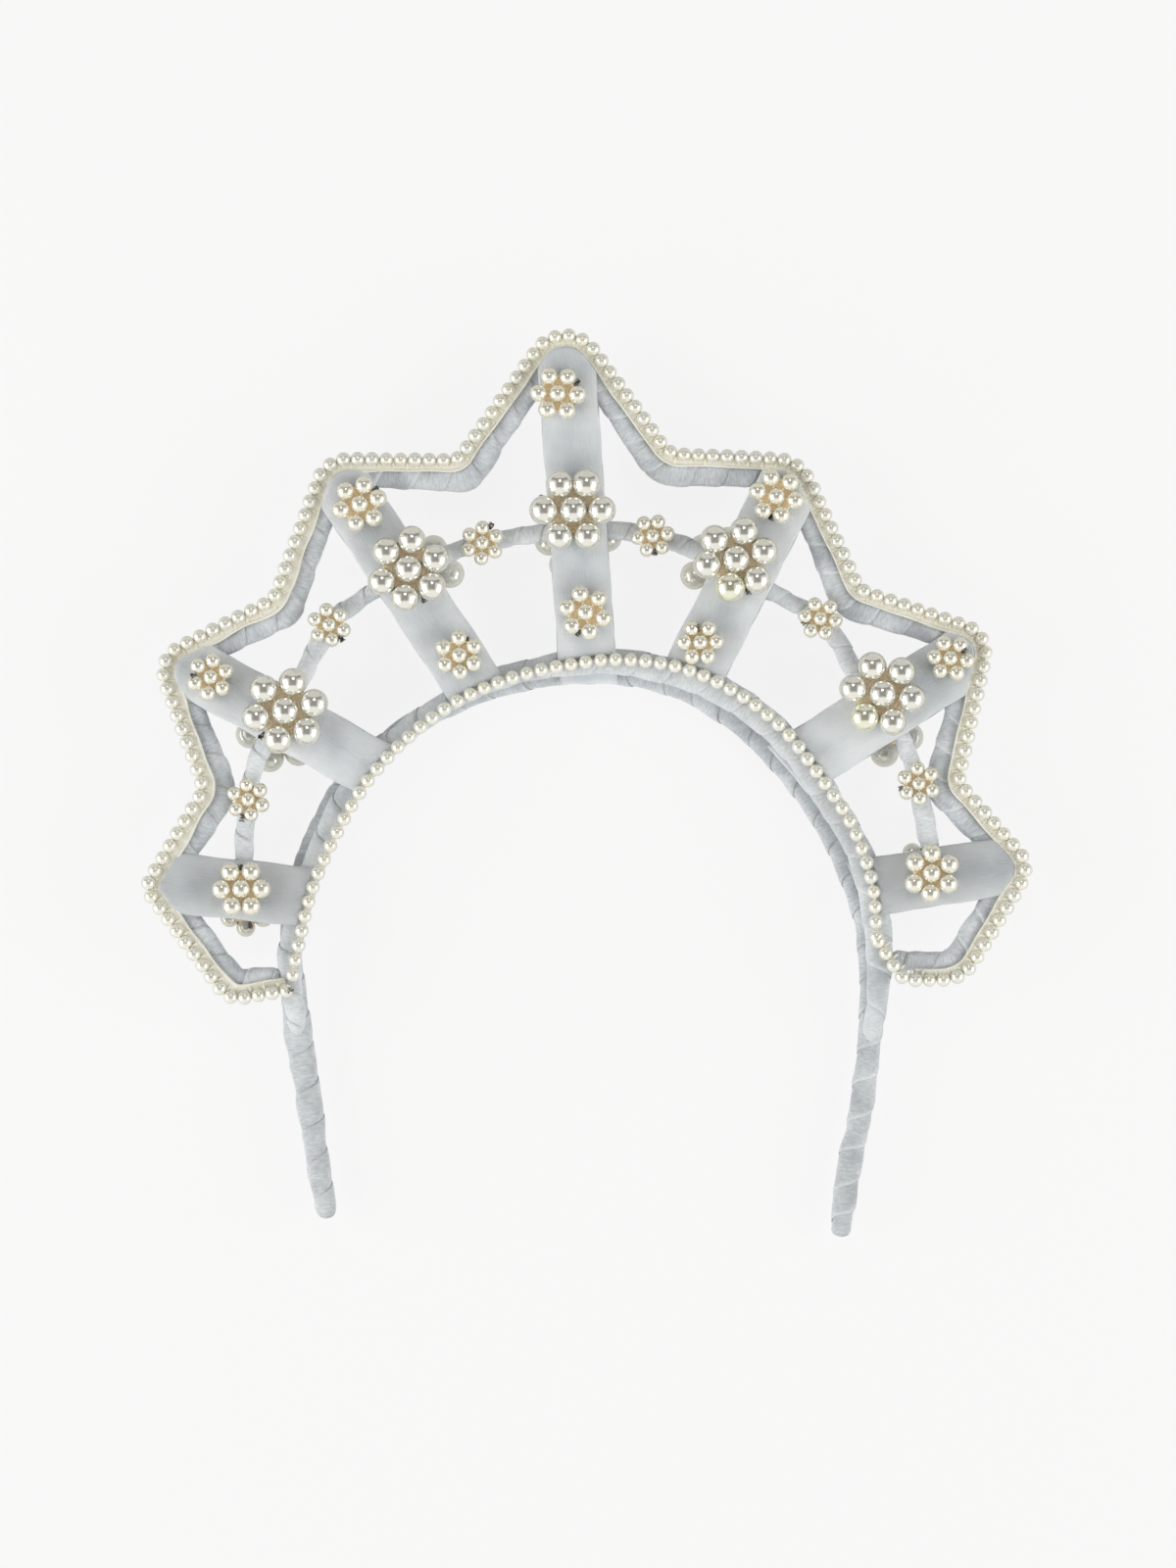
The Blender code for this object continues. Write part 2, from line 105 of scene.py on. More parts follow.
# %% Lines that the pieces follow
# Hair band: x, y, width factor
HEADBAND_ROUTE = (
    (-70.0, -118.2, 0.78),
    (-72.7, -103.6, 0.88),
    (-75.7, -82.4, 0.98),
    (-77.9, -69.7, 1.05),
    (-79.2, -61.2, 1.00),
    (-80.6, -50.0, 0.95),
    (-80.5, -38.5, 0.95),
    (-76.8, -22.5, 1.00),
    (-67.2, -2.4, 1.00),
    (-55.0, 10.6, 1.00),
    (-41.9, 19.2, 1.00),
    (-26.5, 25.8, 1.00),
    (-10.6, 29.4, 1.00),
    (-4.0, 29.9, 1.00),
    (8.0, 29.9, 1.00),
    (18.2, 28.2, 1.00),
    (30.0, 23.6, 1.00),
    (42.7, 14.8, 1.00),
    (55.1, 2.1, 1.00),
    (66.0, -13.5, 1.00),
    (74.7, -34.5, 1.00),
    (76.4, -46.0, 1.00),
    (76.8, -58.0, 1.00),
    (75.9, -70.0, 0.96),
    (73.3, -90.4, 0.96),
    (70.5, -103.4, 0.96),
    (67.8, -123.2, 0.85),
)

# Front arch: x, y, width
ARCH_ROUTE = (
    (-80.0, -57.0, 6.0),
    (-80.8, -46.6, 6.4),
    (-78.7, -36.0, 6.4),
    (-73.5, -20.1, 6.4),
    (-66.5, -5.2, 6.4),
    (-55.8, 8.3, 6.4),
    (-42.7, 18.9, 6.4),
    (-27.6, 27.2, 6.4),
    (-11.1, 31.5, 6.6),
    (4.8, 33.0, 7.0),
    (16.7, 31.5, 7.4),
    (31.9, 27.0, 7.8),
    (45.4, 18.9, 7.8),
    (56.7, 8.0, 7.8),
    (65.6, -5.2, 7.8),
    (73.5, -18.7, 7.6),
    (77.6, -33.9, 7.4),
    (79.0, -46.6, 7.2),
    (78.4, -58.6, 6.4),
)

# Where the arch's ribbon runs out over the legs: x, y, width, height against the arch's
ARCH_TAIL_LEFT = (
    (-78.6, -68.5, 3.6, -5.2),
    (-79.2, -63.0, 5.2, -2.6),
)
ARCH_TAIL_RIGHT = (
    (77.9, -62.6, 6.2, -1.4),
    (77.3, -66.4, 5.4, -3.6),
    (76.7, -70.4, 4.2, -5.6),
)
LEG_TOP = -58.0         # below this the headband's wires are the legs

# Arch pearls: x, y
ARCH_STRING_ROUTE = (
    (-79.8, -51.9),
    (-78.4, -44.5),
    (-74.5, -28.6),
    (-68.1, -13.8),
    (-59.6, 0.5),
    (-48.2, 12.7),
    (-34.7, 22.5),
    (-19.1, 28.9),
    (-3.2, 32.3),
    (9.0, 33.4),
    (24.9, 31.3),
    (40.0, 24.6),
    (52.7, 14.8),
    (62.5, 2.1),
    (71.3, -11.1),
    (76.6, -25.7),
    (77.8, -36.0),
    (78.0, -41.6),
)

# Outer pearls' corners, clockwise from the left foot of the arch: x, y, radius of the bend
RIM_CORNERS = (
    (-81.6, -56.2, 0.0),
    (-97.3, -58.8, 6.0),
    (-120.0, -28.4, 4.4),
    (-103.9, -1.6, 6.0),
    (-116.9, 33.7, 7.8),
    (-85.1, 49.6, 5.0),
    (-71.0, 87.7, 9.0),
    (-35.2, 87.3, 4.0),
    (-6.3, 128.0, 9.4),
    (22.0, 89.0, 6.0),
    (57.4, 87.4, 10.0),
    (73.5, 52.2, 5.0),
    (108.9, 40.3, 7.8),
    (100.2, 0.2, 4.0),
    (120.1, -22.5, 7.4),
    (101.6, -53.3, 10.0),
    (85.1, -53.3, 4.5),
    (78.5, -42.8, 0.0),
)
CLIMB_LEFT = 4.5        # length at each end of the rim string that lies on the arch's foot
CLIMB_RIGHT = 13.5
CLIMB_RAMP = 5.0
TAPE_END = (88.0, -53.3, 0.0)
RIM_WIRE_ENDS = ((-83.1, -52.3), (82.0, -48.1))

# Cross wire: x, y
CROSS_ROUTE = (
    (-93.3, -24.1),
    (-93.0, -13.5),
    (-92.0, -4.5),
    (-89.6, 6.4),
    (-83.5, 17.0),
    (-77.4, 28.9),
    (-70.0, 42.7),
    (-63.6, 48.2),
    (-48.5, 57.8),
    (-28.6, 64.9),
    (-4.0, 68.6),
    (8.0, 68.4),
    (26.5, 64.1),
    (50.4, 51.4),
    (62.8, 44.3),
    (68.4, 37.4),
    (72.9, 28.9),
    (79.5, 22.3),
    (85.3, 11.7),
    (89.3, -0.3),
    (92.8, -18.8),
)

# Rays: name, tip x and y, foot x and y, ribbon width, how far the rear ribbon's foot shows
RAYS = (
    ("1", -116.6, -26.6, -79.5, -30.5, 16.2, 0.0),
    ("2", -113.0, 34.2, -61.5, 5.8, 15.9, 0.0),
    ("3", -68.9, 84.0, -31.5, 27.6, 15.9, 0.0),
    ("4", -6.4, 122.0, -0.4, 35.5, 15.6, 3.4),
    ("5", 56.2, 84.5, 29.7, 32.1, 16.7, 0.0),
    ("6", 107.0, 37.0, 61.0, 7.7, 17.0, 0.0),
    ("7", 117.5, -21.8, 80.6, -27.6, 15.6, 0.0),
)

# Flowers: name, x, y, ring radius, pearl diameter, first pearl's angle
FLOWERS = (
    ("big_1", -81.8, 19.5, 7.6, 7.4, 44.0),
    ("big_2", -48.5, 57.8, 7.6, 7.4, 23.0),
    ("big_3", -4.0, 73.7, 7.6, 7.4, 1.0),
    ("big_4", 40.0, 60.4, 7.6, 7.4, 16.0),
    ("big_5", 79.5, 24.1, 7.6, 7.4, 50.0),
    ("low_1", -93.7, -28.6, 5.35, 5.2, 2.0),
    ("low_2", 92.8, -24.4, 5.35, 5.2, 28.0),
    ("tip_1", -102.0, 28.6, 4.4, 4.2, 20.0),
    ("tip_2", -61.7, 75.3, 5.2, 4.9, 17.0),
    ("tip_3", -8.2, 105.2, 5.2, 4.8, 57.0),
    ("tip_4", 50.9, 77.4, 5.2, 4.8, 46.0),
    ("tip_5", 97.9, 33.7, 4.4, 4.2, 52.0),
    ("foot_1", -34.8, 34.5, 4.6, 4.4, 32.0),
    ("foot_2", -0.7, 46.1, 5.2, 4.7, 44.0),
    ("foot_3", 30.3, 38.0, 4.35, 4.2, 60.0),
    ("wire_1", -91.9, -4.5, 4.1, 3.9, 38.0),
    ("wire_2", -70.0, 42.7, 4.1, 3.9, 40.0),
    ("wire_3", -28.6, 64.9, 4.1, 3.9, 26.0),
    ("wire_4", 17.5, 66.8, 4.1, 3.9, 8.0),
    ("wire_5", 62.8, 44.4, 4.1, 3.9, 52.0),
    ("wire_6", 89.4, -0.2, 4.1, 3.9, 36.0),
    ("back_1", -92.8, -33.9, 5.3, 5.2, 30.0),
    ("back_2", -84.0, 14.3, 7.6, 7.4, 10.0),
    ("back_3", -45.6, 56.5, 7.6, 7.4, 0.0),
    ("back_4", -2.6, 66.0, 7.6, 7.4, 0.0),
    ("back_5", 36.6, 58.0, 7.6, 7.4, 15.0),
    ("back_6", 80.3, 16.2, 7.6, 7.4, 34.0),
    ("back_7", 91.4, -23.1, 5.3, 5.2, 10.0),
)
ODD_PEARLS = {"big_4": 5, "big_5": 4}   # a greenish pearl, counted from the middle one
print("flowers:", len(FLOWERS), "rays:", len(RAYS))

# %% [markdown]
# ## Lines through the tables
# Wires bend in smooth curves, so a Catmull-Rom curve runs through their rows. The rim has straight
# sides with a round bend at each corner, so its table holds corners and radii instead. A line beside
# another one is made by moving the corners, because that keeps the distance the same in the bends.


# %% Smooth lines, rounded corners and lines beside them
def smooth_route(rows, step):
    """Points of a smooth curve through the rows, each with the rows' later columns blended."""
    points = []
    last = len(rows) - 1
    for i in range(last):
        before, here = rows[max(i - 1, 0)], rows[i]
        there, after = rows[i + 1], rows[min(i + 2, last)]
        count = max(1, round(math.dist(here[:2], there[:2]) / step))
        for k in range(count):
            t = k / count
            point = []
            for a, b, c, d in zip(before, here, there, after):
                cubic = (3 * b - a - 3 * c + d) * t ** 3
                square = (2 * a - 5 * b + 4 * c - d) * t ** 2
                point.append(b + (cubic + square + (c - a) * t) / 2)
            points.append(point)
    points.append(list(rows[last]))
    return points


def offset_corners(rows, inward):
    """The corners moved sideways by one distance, to the right of the way they run."""
    moved = []
    last = len(rows) - 1
    for i, (x, y, radius) in enumerate(rows):
        here = Vector((x, y))
        ways = []
        if i > 0:
            ways.append((here - Vector(rows[i - 1][:2])).normalized())
        if i < last:
            ways.append((Vector(rows[i + 1][:2]) - here).normalized())
        sides = [Vector((way.y, -way.x)) for way in ways]
        shift = (sides[0] + sides[-1]) / (1.0 + sides[0].dot(sides[-1]))
        turn = ways[0].x * ways[-1].y - ways[0].y * ways[-1].x
        bend = radius - inward if turn < 0 else radius + inward
        spot = here + shift * inward
        moved.append((spot.x, spot.y, bend))
    return moved


def round_corners(rows, tightest):
    """The corner table as a line of points, each bend an arc of its own radius."""
    points = [Vector(rows[0][:2])]
    for before, here, after in zip(rows, rows[1:], rows[2:]):
        corner = Vector(here[:2])
        back = Vector(before[:2]) - corner
        ahead = Vector(after[:2]) - corner
        half = back.angle(ahead) / 2
        reach = min(max(here[2], tightest) / math.tan(half), 0.45 * back.length, 0.45 * ahead.length)
        radius = reach * math.tan(half)
        start = corner + back.normalized() * reach
        end = corner + ahead.normalized() * reach
        centre = corner + (back.normalized() + ahead.normalized()).normalized() * radius / math.sin(half)
        for k in range(BEND_STEPS + 1):
            blend = start.lerp(end, k / BEND_STEPS) - centre
            points.append(centre + blend.normalized() * radius)
    points.append(Vector(rows[-1][:2]))
    return points


def distance_to_line(point, line):
    """Distance from a point to a line of points, all in the plane."""
    nearest = math.inf
    for here, there in zip(line, line[1:]):
        foot, share = geometry.intersect_point_line(point, here, there)
        share = min(max(share, 0.0), 1.0)
        nearest = min(nearest, (point - here.lerp(there, share)).length)
    return nearest


RIM_LINE = round_corners(RIM_CORNERS, 0.0)
ARCH_LINE = [Vector(row) for row in smooth_route(ARCH_STRING_ROUTE, 4.0)]
BAND_LINE = [Vector(row[:2]) for row in smooth_route(HEADBAND_ROUTE, 8.0)]
print("rim line:", len(RIM_LINE), "points, arch line:", len(ARCH_LINE))

# %% [markdown]
# ## Geometry Nodes by hand
# A node tree is easier to read when each line adds one node and says what feeds it. These helpers do
# that. A tree runs on a small mesh of points and edges, and its result is kept as a plain mesh, so
# that nothing in the finished piece depends on a live modifier.


# %% Helpers for trees
def add(tree, kind, feeds=None, **settings):
    """One node. Its settings are set first, then each input gets a value or another node's socket."""
    made = tree.nodes.new(kind)
    for key, value in settings.items():
        setattr(made, key, value)
    for key, value in (feeds or {}).items():
        if isinstance(value, bpy.types.NodeSocket):
            tree.links.new(value, made.inputs[key])
        else:
            made.inputs[key].default_value = value
    return made


def put(tree, kind, feeds=None, **settings):
    """One node's first result."""
    return add(tree, kind, feeds, **settings).outputs[0]


def sums(tree, operation, *values):
    """A Math node's result."""
    return put(tree, "ShaderNodeMath", dict(enumerate(values)), operation=operation)


def vectors(tree, operation, first, second):
    """A Vector Math node's result; SCALE takes a number second."""
    slot = "Scale" if operation == "SCALE" else 1
    return put(tree, "ShaderNodeVectorMath", {0: first, slot: second}, operation=operation)


def named(tree, name):
    """A named number of the points."""
    found = add(tree, "GeometryNodeInputNamedAttribute", {"Name": name}, data_type="FLOAT")
    return next(socket for socket in found.outputs if socket.enabled)


def store(tree, shape, name, value, kind="FLOAT", domain="POINT"):
    """Keeps a value in the geometry under a name, for the material to read."""
    feeds = {"Geometry": shape, "Name": name, "Value": value}
    return put(tree, "GeometryNodeStoreNamedAttribute", feeds, data_type=kind, domain=domain)


def join(tree, *shapes):
    made = add(tree, "GeometryNodeJoinGeometry")
    for shape in shapes:
        tree.links.new(shape, made.inputs[0])
    return made.outputs[0]


def new_tree(name, inputs):
    """An empty tree with named inputs: name, kind of socket, value. Returns it and its inputs."""
    tree = bpy.data.node_groups.new(name, "GeometryNodeTree")
    tree.interface.new_socket("Geometry", in_out="INPUT", socket_type="NodeSocketGeometry")
    for label, kind, value in inputs:
        socket = tree.interface.new_socket(label, in_out="INPUT", socket_type="NodeSocket" + kind)
        if value is not None:
            socket.default_value = value
    tree.interface.new_socket("Geometry", in_out="OUTPUT", socket_type="NodeSocketGeometry")
    given = add(tree, "NodeGroupInput").outputs
    return tree, given


def close_tree(tree, shape):
    """Realizes the instances, shades smooth and sends the shape out."""
    real = put(tree, "GeometryNodeRealizeInstances", {"Geometry": shape})
    smooth = put(tree, "GeometryNodeSetShadeSmooth", {"Geometry": real})
    add(tree, "NodeGroupOutput", {"Geometry": smooth})


def paint(tree, shape, material):
    return put(tree, "GeometryNodeSetMaterial", {"Geometry": shape, "Material": material})


def circle(tree, radius, resolution=6):
    """A round line: a wire's profile, or a ring."""
    feeds = {"Resolution": resolution, "Radius": radius}
    return put(tree, "GeometryNodeCurvePrimitiveCircle", feeds)


def tube(tree, line, profile, caps=False):
    """A wire: the profile carried along the line."""
    feeds = {"Curve": line, "Profile Curve": profile, "Fill Caps": caps}
    return put(tree, "GeometryNodeCurveToMesh", feeds)


def placed(tree, shape, **how):
    """The shape with a Translation, Rotation or Scale."""
    return put(tree, "GeometryNodeTransform", {"Geometry": shape, **how})


def linked(name, data):
    """A new object in the scene."""
    made = bpy.data.objects.new(name, data)
    bpy.context.scene.collection.objects.link(made)
    return made


def skeleton(name, points, edges, attributes=None):
    """Points in millimetres and edges between them: what a tree is given to follow."""
    mesh = bpy.data.meshes.new(name)
    mesh.from_pydata([(x * MM, y * MM, z * MM) for x, y, z in points], edges, [])
    for label, values in (attributes or {}).items():
        mesh.attributes.new(label, "FLOAT", "POINT").data.foreach_set("value", values)
    return linked(name, mesh)


def chain(count):
    """Edges that join so many points in a row."""
    return [(i, i + 1) for i in range(count - 1)]


def grow(start, tree, values, name):
    """Runs the tree on the start and keeps the result as a plain mesh under the name."""
    modifier = start.modifiers.new(tree.name, "NODES")
    modifier.node_group = tree
    for item in tree.interface.items_tree:
        if item.in_out == "INPUT" and item.name in values:
            modifier[item.identifier] = values[item.name]
    evaluated = start.evaluated_get(bpy.context.evaluated_depsgraph_get())
    mesh = bpy.data.meshes.new_from_object(evaluated)
    old = start.data
    bpy.data.objects.remove(start)
    bpy.data.meshes.remove(old)
    return show(name, mesh)


def show(name, mesh):
    mesh.name = name
    print(f"{name}: {len(mesh.polygons)} faces")
    return linked(name, mesh)


def dress(piece, finish_slot, *nodes):
    """The piece moves with the frame and is seen instead of these solids."""
    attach(piece, "root")
    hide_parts(*nodes)


# %% [markdown]
# ## Finishes
# Velvet is matt from the front and pale at its edges, because its pile stands up: the sheen layer does
# that, and on the rays the colour is also painted paler towards the edges, as painted sheen. The wound
# ribbon is rubbed, so streaks run along it, and its cut edges are frayed and paler. Imitation pearl is an
# ivory bead under a clear, mirror-like lacquer. Its reflections are what
# make it look like pearl, so it gets a hard coat over a soft body. The large beads mirror most, the
# small ones less, and those in strings least.


# %% Helpers for materials
def new_material(name, **values):
    """A material and its shader, with the plain values set on the shader's own sockets."""
    made = bpy.data.materials.new(name)
    made.use_nodes = True
    shader = made.node_tree.nodes["Principled BSDF"]
    for key, value in values.items():
        shader.inputs[key.replace("_", " ")].default_value = value
    return made, shader


def noise(tree, place, scale, detail=3.0):
    feeds = {"Vector": place, "Scale": scale, "Detail": detail}
    return put(tree, "ShaderNodeTexNoise", feeds)


def stretched(tree, place, scale):
    """The place with each direction scaled on its own."""
    return put(tree, "ShaderNodeMapping", {"Vector": place, "Scale": scale})


def ramp(tree, value, low, high):
    """Turns the range from low to high into 0 to 1."""
    feeds = {"Value": value, "From Min": low, "From Max": high}
    return put(tree, "ShaderNodeMapRange", feeds)


def blend(tree, share, first, second):
    """A mix of two colours."""
    made = add(tree, "ShaderNodeMix", {0: share}, data_type="RGBA")
    for socket, value in ((made.inputs[6], first), (made.inputs[7], second)):
        if isinstance(value, bpy.types.NodeSocket):
            tree.links.new(value, socket)
        else:
            socket.default_value = (*value, 1.0)
    return made.outputs[2]


def bump(tree, shader, height, distance, strength):
    made = add(tree, "ShaderNodeBump", {"Height": height, "Distance": distance, "Strength": strength})
    tree.links.new(made.outputs[0], shader.inputs["Normal"])


def own_place(tree):
    return add(tree, "ShaderNodeTexCoord").outputs["Object"]


# %% Velvet of the rays
def ray_velvet(name, shade):
    """Cool white velvet: patches where the pile leans, a fine rib along it, and painted sheen that turns it
    paler towards its edges.
    """
    made, shader = new_material(name, Roughness=0.92, Sheen_Weight=0.45, Sheen_Roughness=0.45,
                                Specular_IOR_Level=0.2)
    tree = made.node_tree
    place = own_place(tree)
    uv = put(tree, "ShaderNodeUVMap", uv_map="ribbon")
    fine, broad = noise(tree, place, 150.0, 5.0), noise(tree, place, 48.0, 2.0)
    leaning = sums(tree, "ADD", sums(tree, "MULTIPLY", fine, 0.5), sums(tree, "MULTIPLY", broad, 0.5))
    patches = ramp(tree, leaning, 0.36, 0.64)
    ribs = noise(tree, stretched(tree, uv, (0.25, 3.2, 1.0)), 1.0, 4.0)
    dark = tuple(shade * value for value in (0.51, 0.55, 0.59))
    pale = tuple(shade * value for value in (0.68, 0.72, 0.755))
    # The palest tone serves the rib's weave and the painted sheen at the ribbon's edges.
    pale_ribs_and_sheen = tuple(shade * value for value in (0.90, 0.925, 0.945))
    colour = blend(tree, patches, dark, pale)
    colour = blend(tree, sums(tree, "MULTIPLY", ramp(tree, ribs, 0.35, 0.75), 0.3), colour, pale_ribs_and_sheen)
    # Painted sheen: the colour turns paler towards both edges of the ribbon, so its middle reads darker.
    aside = sums(tree, "ABSOLUTE", add(tree, "ShaderNodeSeparateXYZ", {0: uv}).outputs[1])
    drift = sums(tree, "MULTIPLY", broad, 5.0)
    edge_sheen = ramp(tree, sums(tree, "ADD", aside, drift), 3.0, 9.0)
    colour = blend(tree, sums(tree, "MULTIPLY", edge_sheen, 0.4), colour, pale_ribs_and_sheen)
    tree.links.new(colour, shader.inputs["Base Color"])
    pile = noise(tree, place, 2600.0, 2.0)
    height = sums(tree, "ADD", sums(tree, "MULTIPLY", pile, 0.6), sums(tree, "MULTIPLY", ribs, 0.6))
    bump(tree, shader, height, 0.00025, 0.7)
    return made


def wound_velvet(name, dark, pale):
    """Ribbon wound round wire: streaks along it, and a paler frayed edge on each turn."""
    made, shader = new_material(name, Roughness=0.88, Sheen_Weight=0.5, Sheen_Roughness=0.4,
                                Specular_IOR_Level=0.25)
    tree = made.node_tree
    place = own_place(tree)
    uv = put(tree, "ShaderNodeUVMap", uv_map="ribbon")
    streaks = noise(tree, stretched(tree, uv, (0.7, 1.7, 1.0)), 1.0, 6.0)
    patches = noise(tree, place, 120.0, 5.0)
    mixed = sums(tree, "ADD", sums(tree, "MULTIPLY", streaks, 0.45), sums(tree, "MULTIPLY", patches, 0.55))
    colour = blend(tree, ramp(tree, mixed, 0.38, 0.62), dark, pale)
    across = add(tree, "ShaderNodeAttribute", attribute_name="across").outputs["Fac"]
    fray = noise(tree, place, 900.0, 3.0)
    edge = ramp(tree, sums(tree, "ADD", across, sums(tree, "MULTIPLY", fray, 0.12)), 0.97, 1.05)
    colour = blend(tree, sums(tree, "MULTIPLY", edge, 0.4), colour, (0.92, 0.94, 0.95))
    tree.links.new(colour, shader.inputs["Base Color"])
    pile = noise(tree, place, 1900.0, 3.0)
    height = sums(tree, "ADD", sums(tree, "MULTIPLY", pile, 0.5), streaks)
    bump(tree, shader, height, 0.0003, 0.42)
    return made


def tape_cotton():
    """Cream cotton with a close weave."""
    made, shader = new_material("tape cotton", Roughness=0.85, Sheen_Weight=0.6,
                                Specular_IOR_Level=0.25)
    tree = made.node_tree
    place = own_place(tree)
    threads = noise(tree, place, 1500.0, 3.0)
    patches = noise(tree, place, 160.0, 3.0)
    colour = blend(tree, ramp(tree, patches, 0.35, 0.65), (0.90, 0.88, 0.76), (0.97, 0.96, 0.87))
    tree.links.new(colour, shader.inputs["Base Color"])
    bump(tree, shader, threads, 0.0003, 0.4)
    return made


def pearl_finish(name, lustre, warm=(0.93, 0.885, 0.74), cool=(0.85, 0.855, 0.79)):
    """Ivory lacquered bead. The tint and odd attributes, one value a pearl, vary its colour."""
    made, shader = new_material(name, Roughness=0.15, Metallic=lustre, Coat_Weight=1.0,
                                Coat_Roughness=0.02, Coat_IOR=1.5, Specular_IOR_Level=0.6,
                                Specular_Tint=(0.72, 0.68, 0.58, 1.0))
    tree = made.node_tree
    place = own_place(tree)
    tint = add(tree, "ShaderNodeAttribute", attribute_name="tint").outputs["Fac"]
    odd = add(tree, "ShaderNodeAttribute", attribute_name="odd").outputs["Fac"]
    colour = blend(tree, tint, warm, cool)
    colour = blend(tree, odd, colour, (0.90, 0.90, 0.73))
    clouds = ramp(tree, noise(tree, place, 420.0, 2.0), 0.35, 0.75)
    colour = blend(tree, sums(tree, "MULTIPLY", clouds, 0.2), colour, (0.93, 0.92, 0.84))
    tree.links.new(colour, shader.inputs["Base Color"])
    bump(tree, shader, noise(tree, place, 900.0, 2.0), 0.00003, 0.5)
    return made


def plain_wire(name, dark, pale, metallic, roughness, glow=0.0):
    """Wire or thread in two tones. Its glow is painted light: an emission that stands in for the warm light
    that reaches it between the pearls.
    """
    made, shader = new_material(name, Roughness=roughness, Metallic=metallic, Emission_Strength=glow,
                                Emission_Color=(0.90, 0.66, 0.36, 1.0))
    tree = made.node_tree
    share = ramp(tree, noise(tree, own_place(tree), 1400.0, 2.0), 0.4, 0.6)
    tree.links.new(blend(tree, share, dark, pale), shader.inputs["Base Color"])
    return made


RAY_VELVET = ray_velvet("ray velvet", 1.0)
# A darker copy of the ray velvet for the two side rays: painted shade.
OUTER_VELVET = ray_velvet("outer ray velvet", 0.83)
# One white velvet ribbon winds all four; their different tones are painted light and shade, darkest on the
# hair band and palest on the cross wire.
RIM_VELVET = wound_velvet("rim velvet", (0.50, 0.535, 0.58), (0.80, 0.835, 0.87))
CROSS_VELVET = wound_velvet("cross velvet", (0.62, 0.655, 0.695), (0.88, 0.91, 0.935))
ARCH_VELVET = wound_velvet("arch velvet", (0.54, 0.57, 0.605), (0.76, 0.79, 0.81))
BAND_VELVET = wound_velvet("band velvet", (0.46, 0.49, 0.52), (0.70, 0.735, 0.76))
TAPE_COTTON = tape_cotton()
BIG_PEARL = pearl_finish("big pearl", 0.66, (0.90, 0.87, 0.775), (0.86, 0.865, 0.82))
SMALL_PEARL = pearl_finish("small pearl", 0.5)
SOFT_PEARL = pearl_finish("soft pearl", 0.32)
# The gold wire glows a little: painted light in the gaps between the pearls.
GOLD_WIRE = plain_wire("gold wire", (0.92, 0.76, 0.52), (0.97, 0.86, 0.66), 0.0, 0.5, 0.16)
DARK_WIRE = plain_wire("dark wire", (0.03, 0.026, 0.022), (0.45, 0.43, 0.40), 0.5, 0.4)
THREAD = plain_wire("thread", (0.86, 0.82, 0.68), (0.95, 0.93, 0.82), 0.0, 0.8)
print("finishes:", len(bpy.data.materials))

# %% [markdown]
# ## The wound wires
# A maker winds velvet ribbon round padded wire, each turn lapping over the last. A plain tube would
# lose that. Here a long flat grid is the ribbon: one direction of the grid runs along the ribbon and
# turns round the wire, the other runs across the ribbon. Its far edge lies a little higher than its
# near edge, so each turn covers the start of the next, as on the real band.


# %% Tree that winds a ribbon round a wire
TURN_STEPS = 28
ACROSS_STEPS = 12
LEAD = 1.4              # turns wound before the wire starts, all drawn into its end
ROUNDNESS = 0.8         # 1 is a round section, less is squarer
END_ROUNDING = 2.2      # length over which the wound wire closes at its ends, in millimetres
LIP_START = 0.93        # the ribbon's edge turns down from here on, and by so many millimetres
LIP_DROP = 0.18
TURN_LENGTH = 17.0      # ribbon in one turn, for the streaks along it
RIBBON_WALL = 0.15


def flattened(tree, wave):
    """A sine or cosine with broader tops, so that the wire's section is a square with round sides."""
    size = sums(tree, "POWER", sums(tree, "ABSOLUTE", wave), ROUNDNESS)
    return sums(tree, "MULTIPLY", sums(tree, "SIGN", wave), size)


